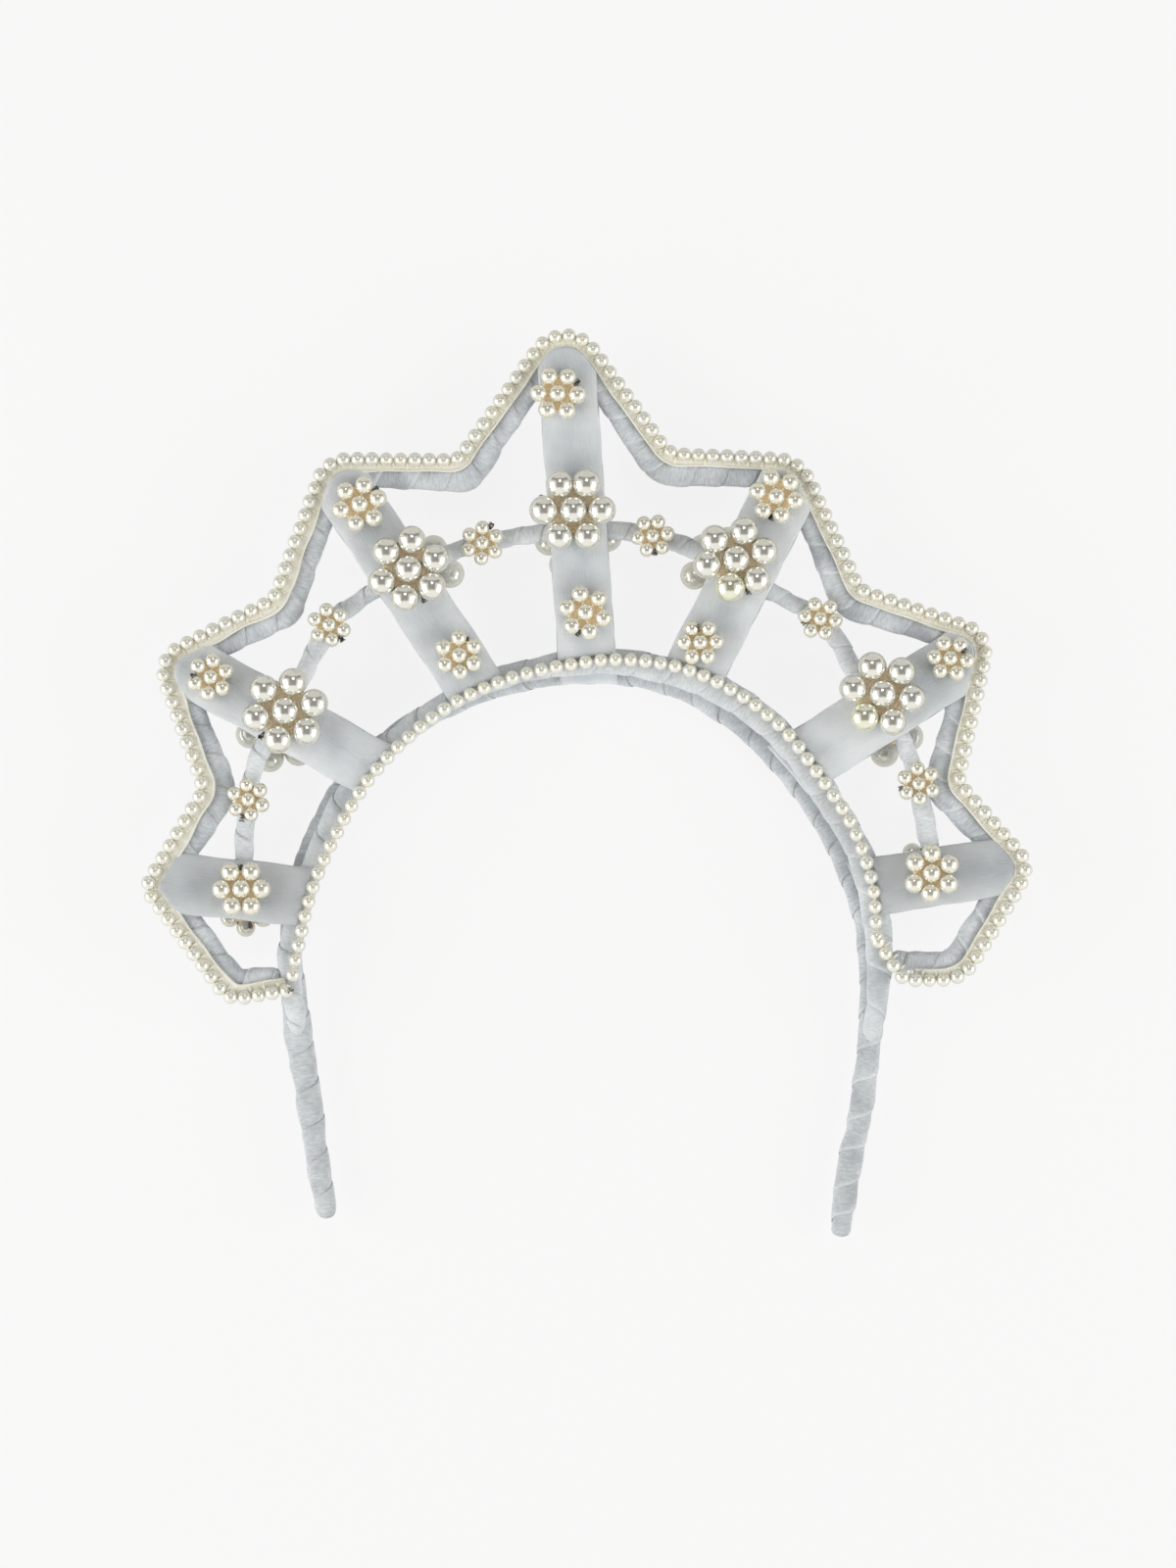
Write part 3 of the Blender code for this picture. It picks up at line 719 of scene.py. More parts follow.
def winding_tree():
    tree, given = new_tree("ribbon winding", (
        ("Pitch", "Float", 0.009),
        ("Overlap", "Float", 0.4),
        ("Fold", "Float", 0.0006),
        ("Half Thickness", "Float", 0.0026),
        ("Lumps", "Float", 0.0015),
        ("Wander", "Float", 0.5),
        ("Hand", "Float", 1.0),
        ("Seed", "Float", 0.0),
        ("Material", "Material", None),
    ))
    pitch = given["Pitch"]
    wire = put(tree, "GeometryNodeMeshToCurve", {"Mesh": given["Geometry"]})
    length = put(tree, "GeometryNodeCurveLength", {"Curve": wire})
    turns = sums(tree, "ADD", sums(tree, "CEIL", sums(tree, "DIVIDE", length, pitch)), 2 * LEAD)
    steps = sums(tree, "ROUND", sums(tree, "MULTIPLY", turns, TURN_STEPS))
    grid = add(tree, "GeometryNodeMeshGrid", {"Vertices X": steps, "Vertices Y": ACROSS_STEPS})
    place = add(tree, "ShaderNodeSeparateXYZ", {0: put(tree, "GeometryNodeInputPosition")})
    turn = sums(tree, "MULTIPLY", sums(tree, "ADD", place.outputs[0], 0.5), turns)
    across = sums(tree, "ADD", place.outputs[1], 0.5)
    wander = put(tree, "ShaderNodeTexNoise", {"W": sums(tree, "ADD", turn, given["Seed"]), "Scale": 0.6},
                 noise_dimensions="1D")
    wander = sums(tree, "MULTIPLY", sums(tree, "SUBTRACT", wander, 0.5), given["Wander"])
    reach = sums(tree, "MULTIPLY", across, sums(tree, "ADD", 1.0, given["Overlap"]))
    run = sums(tree, "ADD", sums(tree, "ADD", sums(tree, "SUBTRACT", turn, LEAD), reach), wander)
    along = sums(tree, "MULTIPLY", run, pitch)
    held = put(tree, "ShaderNodeClamp", {"Value": along, "Min": 0.0, "Max": length})
    feeds = {"Curves": wire, "Value": named(tree, "half_width"), "Length": held}
    spot = add(tree, "GeometryNodeSampleCurve", feeds, mode="LENGTH", use_all_curves=True)
    half_width = spot.outputs["Value"]
    side = vectors(tree, "CROSS_PRODUCT", spot.outputs["Tangent"], (0.0, 0.0, 1.0))
    side = put(tree, "ShaderNodeVectorMath", {0: side}, operation="NORMALIZE")
    from_start = sums(tree, "DIVIDE", along, END_ROUNDING * MM)
    from_end = sums(tree, "DIVIDE", sums(tree, "SUBTRACT", length, along), END_ROUNDING * MM)
    near = put(tree, "ShaderNodeClamp", {"Value": sums(tree, "MINIMUM", from_start, from_end)})
    gap = sums(tree, "SUBTRACT", 1.0, near)
    closing = sums(tree, "SQRT", sums(tree, "SUBTRACT", 1.0, sums(tree, "MULTIPLY", gap, gap)))
    feeds = {"Vector": spot.outputs["Position"], "Scale": 110.0}
    lumps = put(tree, "ShaderNodeTexNoise", feeds)
    lumps = sums(tree, "MULTIPLY", sums(tree, "SUBTRACT", lumps, 0.5), given["Lumps"])
    lip = put(tree, "ShaderNodeMapRange", {"Value": across, "From Min": LIP_START})
    rise = sums(tree, "MULTIPLY", sums(tree, "SUBTRACT", across, 1.0), given["Fold"])
    rise = sums(tree, "SUBTRACT", rise, sums(tree, "MULTIPLY", lip, LIP_DROP * MM))
    rise = sums(tree, "ADD", rise, lumps)
    angle = sums(tree, "MULTIPLY", sums(tree, "MULTIPLY", turn, math.tau), given["Hand"])
    wide = sums(tree, "MULTIPLY", sums(tree, "ADD", half_width, rise), closing)
    thick = sums(tree, "MULTIPLY", sums(tree, "ADD", given["Half Thickness"], rise), closing)
    level_out = flattened(tree, sums(tree, "COSINE", angle))
    level_up = flattened(tree, sums(tree, "SINE", angle))
    out = vectors(tree, "SCALE", side, sums(tree, "MULTIPLY", level_out, wide))
    up = add(tree, "ShaderNodeCombineXYZ", {"Z": sums(tree, "MULTIPLY", level_up, thick)})
    goal = vectors(tree, "ADD", vectors(tree, "ADD", spot.outputs["Position"], out), up.outputs[0])
    shape = store(tree, grid.outputs["Mesh"], "across", across)
    uv = put(tree, "ShaderNodeCombineXYZ", {"X": sums(tree, "MULTIPLY", turn, TURN_LENGTH),
                                            "Y": sums(tree, "MULTIPLY", along, 1000.0)})
    shape = store(tree, shape, "ribbon", uv, "FLOAT2", "CORNER")
    shape = put(tree, "GeometryNodeSetPosition", {"Geometry": shape, "Position": goal})
    other_hand = sums(tree, "LESS_THAN", given["Hand"], 0.0)
    shape = put(tree, "GeometryNodeFlipFaces", {"Mesh": shape, "Selection": other_hand})
    close_tree(tree, paint(tree, shape, given["Material"]))
    return tree


WINDING = winding_tree()


# %% Wind the hair band, the arch, the rim wire and the cross wire
VALLEY_FULLER = 0.26    # how much fuller the ribbon is wound in the rim's valleys
VALLEY_REACH = 13.0
VALLEY_SHIFT = 0.2      # how much of the added width goes inward, against the rod's width
VALLEY_BEND = 5.0
LEG_BLEND = 8.0         # length over which the legs grow fuller
LEFT_LEG = (1.14, -0.6)     # how much fuller than the solid, and how far aside in millimetres
RIGHT_LEG = (1.06, 0.6)


def valleys(rows):
    """The corners at which the rim, run clockwise, turns left."""
    found = []
    for before, here, after in zip(rows, rows[1:], rows[2:]):
        way = Vector(here[:2]) - Vector(before[:2])
        if way.cross(Vector(after[:2]) - Vector(here[:2])) > 0:
            found.append(Vector(here[:2]))
    return found


def spread(points, step):
    """Extra points on the long straight stretches of a line."""
    line = []
    for here, there in zip(points, points[1:]):
        count = max(1, round((there - here).length / step))
        line.extend(here.lerp(there, k / count) for k in range(count))
    line.append(points[-1])
    return line


def wound(name, rows, height, pitch, material, seed, hand=1.0):
    """A wound wire through rows of x, y, width and, where it leaves the given height, height."""
    points = [(row[0], row[1], row[3] if len(row) > 3 else height) for row in rows]
    halves = [row[2] / 2 * MM for row in rows]
    start = skeleton(name + " wire", points, chain(len(points)), {"half_width": halves})
    values = {"Pitch": pitch * MM, "Half Thickness": ROD_THICK / 2 * MM, "Seed": seed, "Hand": hand,
              "Material": material}
    piece = grow(start, WINDING, values, name)
    wall = piece.modifiers.new("ribbon thickness", "SOLIDIFY")
    wall.thickness = RIBBON_WALL * MM
    wall.offset = -1.0
    return piece


band_rows = []
for x, y, width in HEADBAND_ROUTE:
    leg = min(max((LEG_TOP - y) / LEG_BLEND, 0.0), 1.0)
    fuller, aside = LEFT_LEG if x < 0 else RIGHT_LEG
    band_rows.append((x + aside * leg, y, width * BAND_WIDTH * (1 + (fuller - 1) * leg)))
dress(wound("hair_band", smooth_route(band_rows, 3.0), BAND_MID, 9.5, BAND_VELVET, 3.0, -1.0),
      "wound_ribbon", "headband")
arch_rows = [*ARCH_TAIL_LEFT, *((*row, 0.0) for row in ARCH_ROUTE), *ARCH_TAIL_RIGHT]
arch_rows = [(*row[:3], row[3] + FRAME_MID) for row in arch_rows]
dress(wound("arch", smooth_route(arch_rows, 3.0), FRAME_MID, 10.5, ARCH_VELVET, 11.0),
      "wound_ribbon", "arch_band")
wire_rows = offset_corners(RIM_CORNERS, RIM_INSET)[1:-2]
wire_rows = [(x, y, min(bend, VALLEY_BEND)) for x, y, bend in wire_rows]
wire_rows = [(*RIM_WIRE_ENDS[0], 0.0)] + wire_rows + [(*RIM_WIRE_ENDS[1], 0.0)]
rim_line = spread(round_corners(wire_rows, RIM_BEND), 2.5)
RIM_VALLEYS = valleys(RIM_CORNERS)
rim_rows = []
for before, point, after in zip([rim_line[0]] + rim_line, rim_line, rim_line[1:] + [rim_line[-1]]):
    way = (after - before).normalized()
    nearest = min((point - valley).length for valley in RIM_VALLEYS)
    fuller = VALLEY_FULLER * math.exp(-(nearest / VALLEY_REACH) ** 2)
    middle = point + Vector((way.y, -way.x)) * fuller * RIM_WIDTH * VALLEY_SHIFT
    rim_rows.append((middle.x, middle.y, RIM_WIDTH * (1 + fuller)))
dress(wound("rim_frame", rim_rows, FRAME_MID, 9.0, RIM_VELVET, 23.0), "wound_ribbon", "rim_wire")
cross_rows = [(x, y, ROD_THICK) for x, y in smooth_route(CROSS_ROUTE, 3.0)]
dress(wound("cross_frame", cross_rows, FRAME_MID, 7.5, CROSS_VELVET, 37.0), "wound_ribbon", "cross_wire")

# %% [markdown]
# ## Strings of pearls
# Small pearls are strung on thread. A tree puts a bead at even steps along the line, turned so that
# its hole runs along the thread, with a little variation in size and tint, as in a bag of beads.


# %% Tree for a string of pearls
def string_tree():
    tree, given = new_tree("string of pearls", (
        ("Count", "Int", 10),
        ("Diameter", "Float", 0.0036),
        ("Thread", "Float", 0.0005),
        ("Seed", "Int", 0),
        ("Pearl", "Material", None),
        ("Thread Material", "Material", None),
    ))
    line = put(tree, "GeometryNodeMeshToCurve", {"Mesh": given["Geometry"]})
    places = put(tree, "GeometryNodeResampleCurve", {"Curve": line, "Count": given["Count"]})
    way = put(tree, "GeometryNodeInputTangent")
    turned = put(tree, "FunctionNodeAlignRotationToVector", {"Vector": way}, axis="Z")
    radius = sums(tree, "DIVIDE", given["Diameter"], 2.0)
    bead = add(tree, "GeometryNodeMeshUVSphere", {"Segments": 12, "Rings": 8, "Radius": radius})
    sizes = add(tree, "FunctionNodeRandomValue", {2: 0.96, 3: 1.03, 8: given["Seed"]}).outputs[1]
    beads = add(tree, "GeometryNodeInstanceOnPoints",
                {"Points": places, "Instance": bead.outputs[0], "Rotation": turned, "Scale": sizes})
    tints = add(tree, "FunctionNodeRandomValue", {2: 0.35, 3: 0.95, 8: given["Seed"]}).outputs[1]
    beads = store(tree, beads.outputs[0], "tint", tints, domain="INSTANCE")
    beads = paint(tree, beads, given["Pearl"])
    thread = tube(tree, line, circle(tree, given["Thread"]), True)
    close_tree(tree, join(tree, beads, paint(tree, thread, given["Thread Material"])))
    return tree


def line_length(points):
    return sum((there - here).length for here, there in zip(points, points[1:]))


def climb(line):
    """The rim string's points with a height: it rises at both ends, where it lies on the arch."""
    lengths = [0.0]
    for here, there in zip(line, line[1:]):
        lengths.append(lengths[-1] + (there - here).length)
    points = []
    for point, length in zip(line, lengths):
        left = 1 - (length - CLIMB_LEFT) / CLIMB_RAMP
        right = 1 - (lengths[-1] - length - CLIMB_RIGHT) / CLIMB_RAMP
        share = min(max(left, right, 0.0), 1.0)
        points.append((point.x, point.y, RIM_STRING_MID + share * (ARCH_STRING_MID - RIM_STRING_MID)))
    return points


STRING = string_tree()
RIM_PITCH = 3.87
ARCH_PITCH = 4.03
rim_string_line = spread(RIM_LINE, 1.5)
RIM_COUNT = round(line_length(RIM_LINE) / RIM_PITCH) + 1
ARCH_COUNT = round(line_length(ARCH_LINE) / ARCH_PITCH) + 1
STRING_LOOKS = {"Pearl": SOFT_PEARL, "Thread Material": THREAD, "Diameter": STRING_PEARL * MM,
                "Thread": 0.35 * MM}
start = skeleton("rim line", climb(rim_string_line), chain(len(rim_string_line)))
rim_string = grow(start, STRING, {**STRING_LOOKS, "Count": RIM_COUNT, "Seed": 5}, "rim_string")
dress(rim_string, "pearl", "rim_pearls")
start = skeleton("arch line", [(p.x, p.y, ARCH_STRING_MID) for p in ARCH_LINE], chain(len(ARCH_LINE)))
arch_string = grow(start, STRING, {**STRING_LOOKS, "Count": ARCH_COUNT, "Seed": 9}, "arch_string")
dress(arch_string, "pearl", "arch_pearls")
print("pearls on the rim:", RIM_COUNT, "and on the arch:", ARCH_COUNT)

# %% [markdown]
# ## The tape
# The rim's pearls come on a cream tape with a corded edge, sewn down along the rim. It is a strip
# swept along the line with the cord at its inner side, and it waves a little, because a straight
# tape has to be eased round the corners. Short stitches hold the string to it between the pearls.


# %% The tape's section, and the tree for its stitches
TAPE_OUTER = 0.5
TAPE_INNER = 3.9
TAPE_NARROW = 0.78      # the tape's width on the right, where it is tucked under
TAPE_WIDE = 0.92        # and on the left, where it lies flat
TAPE_TURN = -45.0       # it widens from this x on, going left, over so many millimetres
TAPE_BLEND = 35.0
TAPE_WAVE = 0.28

# The tape's section: inward from the string, height over its underside
TAPE_SECTION = (
    (0.5, 0.10),
    (0.7, 0.34),
    (2.6, 0.36),
    (3.1, 0.42),
    (3.35, 0.80),
    (3.65, 0.84),
    (3.92, 0.62),
    (3.92, 0.24),
    (3.7, 0.06),
)


def stitch_tree():
    tree, given = new_tree("tape stitches", (
        ("Stitches", "Int", 10),
        ("Pitch", "Float", 0.0038),
        ("Inset", "Float", 0.0015),
        ("Thread", "Material", None),
    ))
    line = put(tree, "GeometryNodeMeshToCurve", {"Mesh": given["Geometry"]})
    length = put(tree, "GeometryNodeCurveLength", {"Curve": line})
    half = sums(tree, "DIVIDE", given["Pitch"], 2.0)
    feeds = {"Curve": line, "Start": half, "End": sums(tree, "SUBTRACT", length, half)}
    line = put(tree, "GeometryNodeTrimCurve", feeds, mode="LENGTH")
    way = put(tree, "GeometryNodeInputTangent")
    inward = vectors(tree, "CROSS_PRODUCT", way, (0.0, 0.0, 1.0))
    places = put(tree, "GeometryNodeResampleCurve", {"Curve": line, "Count": given["Stitches"]})
    offset = vectors(tree, "SCALE", inward, given["Inset"])
    places = put(tree, "GeometryNodeSetPosition", {"Geometry": places, "Offset": offset})
    turned = put(tree, "FunctionNodeAlignRotationToVector", {"Vector": inward}, axis="Z")
    stitch = add(tree, "GeometryNodeMeshUVSphere", {"Segments": 8, "Rings": 6, "Radius": 0.0005})
    long = placed(tree, stitch.outputs[0], Scale=(0.9, 0.7, 2.6))
    stitches = put(tree, "GeometryNodeInstanceOnPoints",
                   {"Points": places, "Instance": long, "Rotation": turned})
    close_tree(tree, paint(tree, stitches, given["Thread"]))
    return tree


def swept(line, section, low, wave, seed):
    """A section carried along a line in the plane, with a slow wave in its inner half."""
    generator = np.random.default_rng(seed)
    phases = generator.uniform(0, math.tau, 3)
    verts = []
    run = 0.0
    for i, here in enumerate(line):
        before, after = line[max(i - 1, 0)], line[min(i + 1, len(line) - 1)]
        way = (after - before).normalized()
        side = Vector((way.y, -way.x))
        run += (here - before).length
        sway = sum(math.sin(run / length + phase) for length, phase in zip((2.1, 3.7, 7.9), phases)) / 3
        left = min(max((TAPE_TURN - here.x) / TAPE_BLEND, 0.0), 1.0)
        stretch = TAPE_NARROW + (TAPE_WIDE - TAPE_NARROW) * left
        for across, up in section:
            share = (across - TAPE_OUTER) / (TAPE_INNER - TAPE_OUTER)
            reach = TAPE_OUTER + (across - TAPE_OUTER) * stretch + sway * wave * share * (1 + left)
            spot = here + side * reach
            verts.append((spot.x * MM, spot.y * MM, (low + up + 0.15 * sway * share) * MM))
    count = len(section)
    faces = [tuple(range(count))[::-1]]
    for i in range(len(line) - 1):
        for k in range(count):
            near, far = i * count, (i + 1) * count
            faces.append((near + k, near + (k + 1) % count, far + (k + 1) % count, far + k))
    faces.append(tuple(range((len(line) - 1) * count, len(line) * count)))
    mesh = bpy.data.meshes.new("swept")
    mesh.from_pydata(verts, [], faces)
    mesh.update()
    return mesh


tape_rows = RIM_CORNERS[:-2] + (TAPE_END,)
tape_line = spread(round_corners(tape_rows, 0.0), 0.8)
tape_mesh = swept(tape_line, TAPE_SECTION, TAPE_LOW, TAPE_WAVE, 4)
tape_mesh.materials.append(TAPE_COTTON)
tape_mesh.polygons.foreach_set("use_smooth", [True] * len(tape_mesh.polygons))
tape = show("pearl_tape", tape_mesh)
dress(tape, "tape", "rim_tape")
start = skeleton("stitch line", climb(rim_string_line), chain(len(rim_string_line)))
PITCH = line_length(RIM_LINE) / (RIM_COUNT - 1)
stitches = grow(start, stitch_tree(), {"Stitches": RIM_COUNT - 1, "Pitch": PITCH * MM, "Thread": THREAD},
                "tape_stitches")
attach(stitches, "root")

# %% [markdown]
# ## The velvet rays
# Each ray is a flat ribbon, one in front of the wires and one behind. A ribbon is soft, so it sags
# between the wires and swells over them. The grid follows the ribbon's length and width, its two ends
# are cut to the rim and to the arch, and its edges are rounded like a folded selvedge. The rays at the
# two sides turn from the light, so their velvet is a darker one.

# %% Ribbons in front and behind
RAY_ROWS = 64
RAY_COLUMNS = 14
CROSS_LINE = [Vector(row) for row in smooth_route(CROSS_ROUTE, 4.0)]
FRONT_ENDS = (3.0, 1.3)     # from the rim's string to the cut tip, and from the arch's to the foot
REAR_ENDS = (2.4, 0.3)      # the same behind, the foot from the hair band's middle
OVER_WIRE = 0.25            # how far a ribbon swells over a wire and sags beside it
SAG = 0.45
SAG_REACH = 9.0
EDGE_WAVE = 0.16
EDGE_CURL = 0.35
CUT_ROUNDING = 1.1
CLOSE_ENOUGH = 0.02


def reach_line(start, way, line, clearance):
    """The point where a straight way from the start first comes this close to the line."""
    point = start.copy()
    while True:
        left = distance_to_line(point, line) - clearance
        if left < CLOSE_ENOUGH:
            return point
        point = point + way * left


def eased(k, count):
    """From -0.5 to 0.5 in steps that are finer at both ends."""
    return -math.cos(math.pi * k / count) / 2


def ribbon_mesh(row, rim_clearance, foot_line, foot_clearance, past, low, high, facing, seed):
    """A velvet ribbon as a thin closed shell between two heights, facing up or down."""
    _, tip_x, tip_y, foot_x, foot_y, width, _ = row
    tip, foot = Vector((tip_x, tip_y)), Vector((foot_x, foot_y))
    way = (tip - foot).normalized()
    side = Vector((way.y, -way.x))
    middle = (tip + foot) / 2
    generator = np.random.default_rng(seed)
    phases = generator.uniform(0, math.tau, 4)
    tips, feet = [], []
    for k in range(RAY_COLUMNS + 1):
        share = eased(k, RAY_COLUMNS)
        start = middle + side * width * share
        tips.append(reach_line(start, way, RIM_LINE, rim_clearance))
        feet.append(reach_line(start, -way, foot_line, foot_clearance) - way * past)
    verts, uvs = [], []
    thick = high - low
    spine = []
    for i in range(RAY_ROWS + 1):
        along = 0.5 + eased(i, RAY_ROWS)
        centre = feet[RAY_COLUMNS // 2].lerp(tips[RAY_COLUMNS // 2], along)
        near = min(distance_to_line(centre, CROSS_LINE) / SAG_REACH, 1.0)
        spine.append(OVER_WIRE - SAG * near * math.sin(math.pi * along))
    for layer in (1, -1):
        for i in range(RAY_ROWS + 1):
            along = 0.5 + eased(i, RAY_ROWS)
            for k in range(RAY_COLUMNS + 1):
                share = eased(k, RAY_COLUMNS)
                spot = feet[k].lerp(tips[k], along)
                run = (spot - feet[k]).length
                edge = math.sin(run / 3.1 + phases[0 if share < 0 else 1]) * EDGE_WAVE
                spot = spot + side * edge * abs(2 * share) ** 4 * (1 if share > 0 else -1)
                round_side = (1 - abs(2 * share) ** 3) ** 0.5
                end = min(along, 1 - along) * (tips[k] - feet[k]).length
                round_end = math.sqrt(max(0.0, 1 - (1 - min(end / CUT_ROUNDING, 1.0)) ** 2))
                body = thick / 2 * round_side * round_end
                ripple = 0.10 * math.sin(run / 4.3 + 3 * share + phases[2])
                ripple += 0.07 * math.sin(run / 2.2 - 5 * share + phases[3])
                curl = -EDGE_CURL * abs(2 * share) ** 3
                lift = facing * (spine[i] * (1 - abs(2 * share) ** 4) + curl)
                lift += ripple * round_end
                height = (low + high) / 2 + layer * body + lift
                verts.append((spot.x * MM, spot.y * MM, height * MM))
                uvs.append((run, share * width))
    wide = RAY_COLUMNS + 1
    total = wide * (RAY_ROWS + 1)
    faces = []
    for i in range(RAY_ROWS):
        for k in range(RAY_COLUMNS):
            a = i * wide + k
            b, c, d = a + 1, a + wide + 1, a + wide
            faces.append((a, b, c, d))
            faces.append((a + total, d + total, c + total, b + total))
    mesh = bpy.data.meshes.new("ribbon")
    mesh.from_pydata(verts, [], faces)
    layer_uv = mesh.uv_layers.new(name="ribbon")
    corners = np.zeros(len(mesh.loops), np.int32)
    mesh.loops.foreach_get("vertex_index", corners)
    layer_uv.data.foreach_set("uv", np.array(uvs)[corners].ravel())
    cut = (width * MM, (tips[RAY_COLUMNS // 2] - feet[RAY_COLUMNS // 2]).length * MM)
    return mesh, cut


def closed_ribbon(name, mesh, material):
    """Joins the two skins of a ribbon along its rim and turns the faces outwards."""
    work = bmesh.new()
    work.from_mesh(mesh)
    bmesh.ops.remove_doubles(work, verts=work.verts, dist=0.00002)
    bmesh.ops.recalc_face_normals(work, faces=work.faces)
    work.to_mesh(mesh)
    work.free()
    mesh.materials.append(material)
    mesh.polygons.foreach_set("use_smooth", [True] * len(mesh.polygons))
    return show(name, mesh)


for number, row in enumerate(RAYS):
    name = row[0]
    velvet = OUTER_VELVET if name in ("1", "7") else RAY_VELVET
    front, cut = ribbon_mesh(row, FRONT_ENDS[0], ARCH_LINE, FRONT_ENDS[1], 0.0, *FRONT_RIBBON, 1,
                             100 + number)
    piece = closed_ribbon("velvet_front_" + name, front, velvet)
    dress(piece, "ribbon", "ray_front_" + name)
    rear, cut = ribbon_mesh(row, REAR_ENDS[0], BAND_LINE, REAR_ENDS[1], row[6], *REAR_RIBBON, -1,
                            200 + number)
    piece = closed_ribbon("velvet_rear_" + name, rear, velvet)
    dress(piece, "ribbon", "ray_rear_" + name)

# %% [markdown]
# ## The pearl flowers
# Six pearls are threaded in a ring round a seventh, and the wire's twisted ends stick out at one
# side. The tree is given seven points and the edges between them. It puts a pearl on each point and
# a wire along each edge. Three rings of gold binding wire lie under the pearls, and they show as a
# warm tone in the gaps: partly the wire's own gold, partly painted light, for the wire glows a little.


# %% Tree for one flower
THREADING_WIRE = 0.32   # radii of the wires, in millimetres
BINDING_WIRE = 0.4
BINDING_RINGS = (0.48, 0.61, 0.74)      # the rings' sizes against the ring of pearls


def flower_tree():
    tree, given = new_tree("pearl flower", (
        ("Ring", "Float", 0.0076),
        ("Segments", "Int", 24),
        ("Seed", "Int", 0),
        ("Low", "Vector", (0.0, 0.0, 0.0)),
        ("Pearl", "Material", None),
        ("Wire", "Material", None),
    ))
    size = named(tree, "size")
    rings = sums(tree, "DIVIDE", given["Segments"], 2.0)
    feeds = {"Segments": given["Segments"], "Rings": rings, "Radius": 0.5}
    bead = add(tree, "GeometryNodeMeshUVSphere", feeds)
    turn = put(tree, "FunctionNodeRandomValue", {0: (0.2, 0.2, 0.0), 1: (1.2, 1.2, 6.0), 8: given["Seed"]},
               data_type="FLOAT_VECTOR")
    turn = put(tree, "FunctionNodeEulerToRotation", {0: turn})
    pearls = put(tree, "GeometryNodeInstanceOnPoints",
                 {"Points": given["Geometry"], "Instance": bead.outputs[0], "Rotation": turn,
                  "Scale": size})
    pearls = paint(tree, pearls, given["Pearl"])
    edges = put(tree, "GeometryNodeMeshToCurve", {"Mesh": given["Geometry"]})
    wires = [tube(tree, edges, circle(tree, THREADING_WIRE * MM))]
    for share in BINDING_RINGS:
        ring = circle(tree, sums(tree, "MULTIPLY", given["Ring"], share), 24)
        ring = placed(tree, ring, Translation=given["Low"])
        wires.append(tube(tree, ring, circle(tree, BINDING_WIRE * MM)))
    close_tree(tree, join(tree, pearls, paint(tree, join(tree, *wires), given["Wire"])))
    return tree


# %% Place the flowers
FLOWER = flower_tree()
BIG_DIAMETER = 7.0      # beads over this are the large ones
BIG_BEAD = 1.05         # the beads of a big flower against its solid's
BIG_RING = 1.04
SMALL_BEAD = 1.02
BIG_1_TURN = 16.0       # this flower sits a little turned, and a little wider
BIG_1_WIDER = 1.02
ODD_LARGER = 0.06
SMALL_TINT = 0.6
LOW_SHARE = 0.24        # how far under the pearls' middle the binding wire lies


def flower_level(name, diameter):
    """Height of a flower's middle, and which way from it its ribbon or wire lies."""
    low, high = level("flower_" + name, 0.0), level("flower_" + name, 1.0)
    if name.startswith("back"):
        return high - diameter / 2, 1
    return low + diameter / 2, -1


for number, (name, x, y, ring, diameter, first) in enumerate(FLOWERS):
    generator = np.random.default_rng(300 + number)
    middle_z, under = flower_level(name, diameter)
    big = diameter > BIG_DIAMETER
    bead = diameter * (BIG_BEAD if big else SMALL_BEAD)
    ring *= BIG_RING if big else 1.0
    if name == "big_1":
        first, ring = BIG_1_TURN, ring * BIG_1_WIDER
    points = [(x, y, middle_z)]
    sizes = [bead * MM]
    tints = [float(generator.uniform(0.5, 0.8))]
    for k in range(6):
        turn = math.radians(first + k * 60 + generator.normal(0, 1.6))
        far = ring * (1 + generator.normal(0, 0.012))
        points.append((x + far * math.cos(turn), y + far * math.sin(turn),
                       middle_z + generator.normal(0, 0.08)))
        sizes.append(bead * (1 + generator.normal(0, 0.012)) * MM)
        tints.append(float(generator.uniform(0.35, 0.9)))
    if not big:
        tints = [tint * SMALL_TINT for tint in tints]
    odds = [float(k == ODD_PEARLS.get(name)) for k in range(7)]
    sizes = [size * (1 + ODD_LARGER * strange) for size, strange in zip(sizes, odds)]
    edges = [(0, k) for k in range(1, 7)] + [(k, k % 6 + 1) for k in range(1, 7)]
    start = skeleton("flower points", points, edges, {"size": sizes, "tint": tints, "odd": odds})
    low = (x * MM, y * MM, (middle_z + under * diameter * LOW_SHARE) * MM)
    finish = SOFT_PEARL if name.startswith("back") else BIG_PEARL if big else SMALL_PEARL
    values = {"Ring": ring * MM, "Segments": 32 if big else 20, "Seed": number, "Low": low,
              "Pearl": finish, "Wire": GOLD_WIRE}
    dress(grow(start, FLOWER, values, "pearls_" + name), "pearl", "flower_" + name)

# %% [markdown]
# ## The twisted wire ends
# At one side of each flower the two ends of its wire are twisted together and cut, and they show as
# a small dark coil. The tree makes one coil of two strands and puts it on each point.

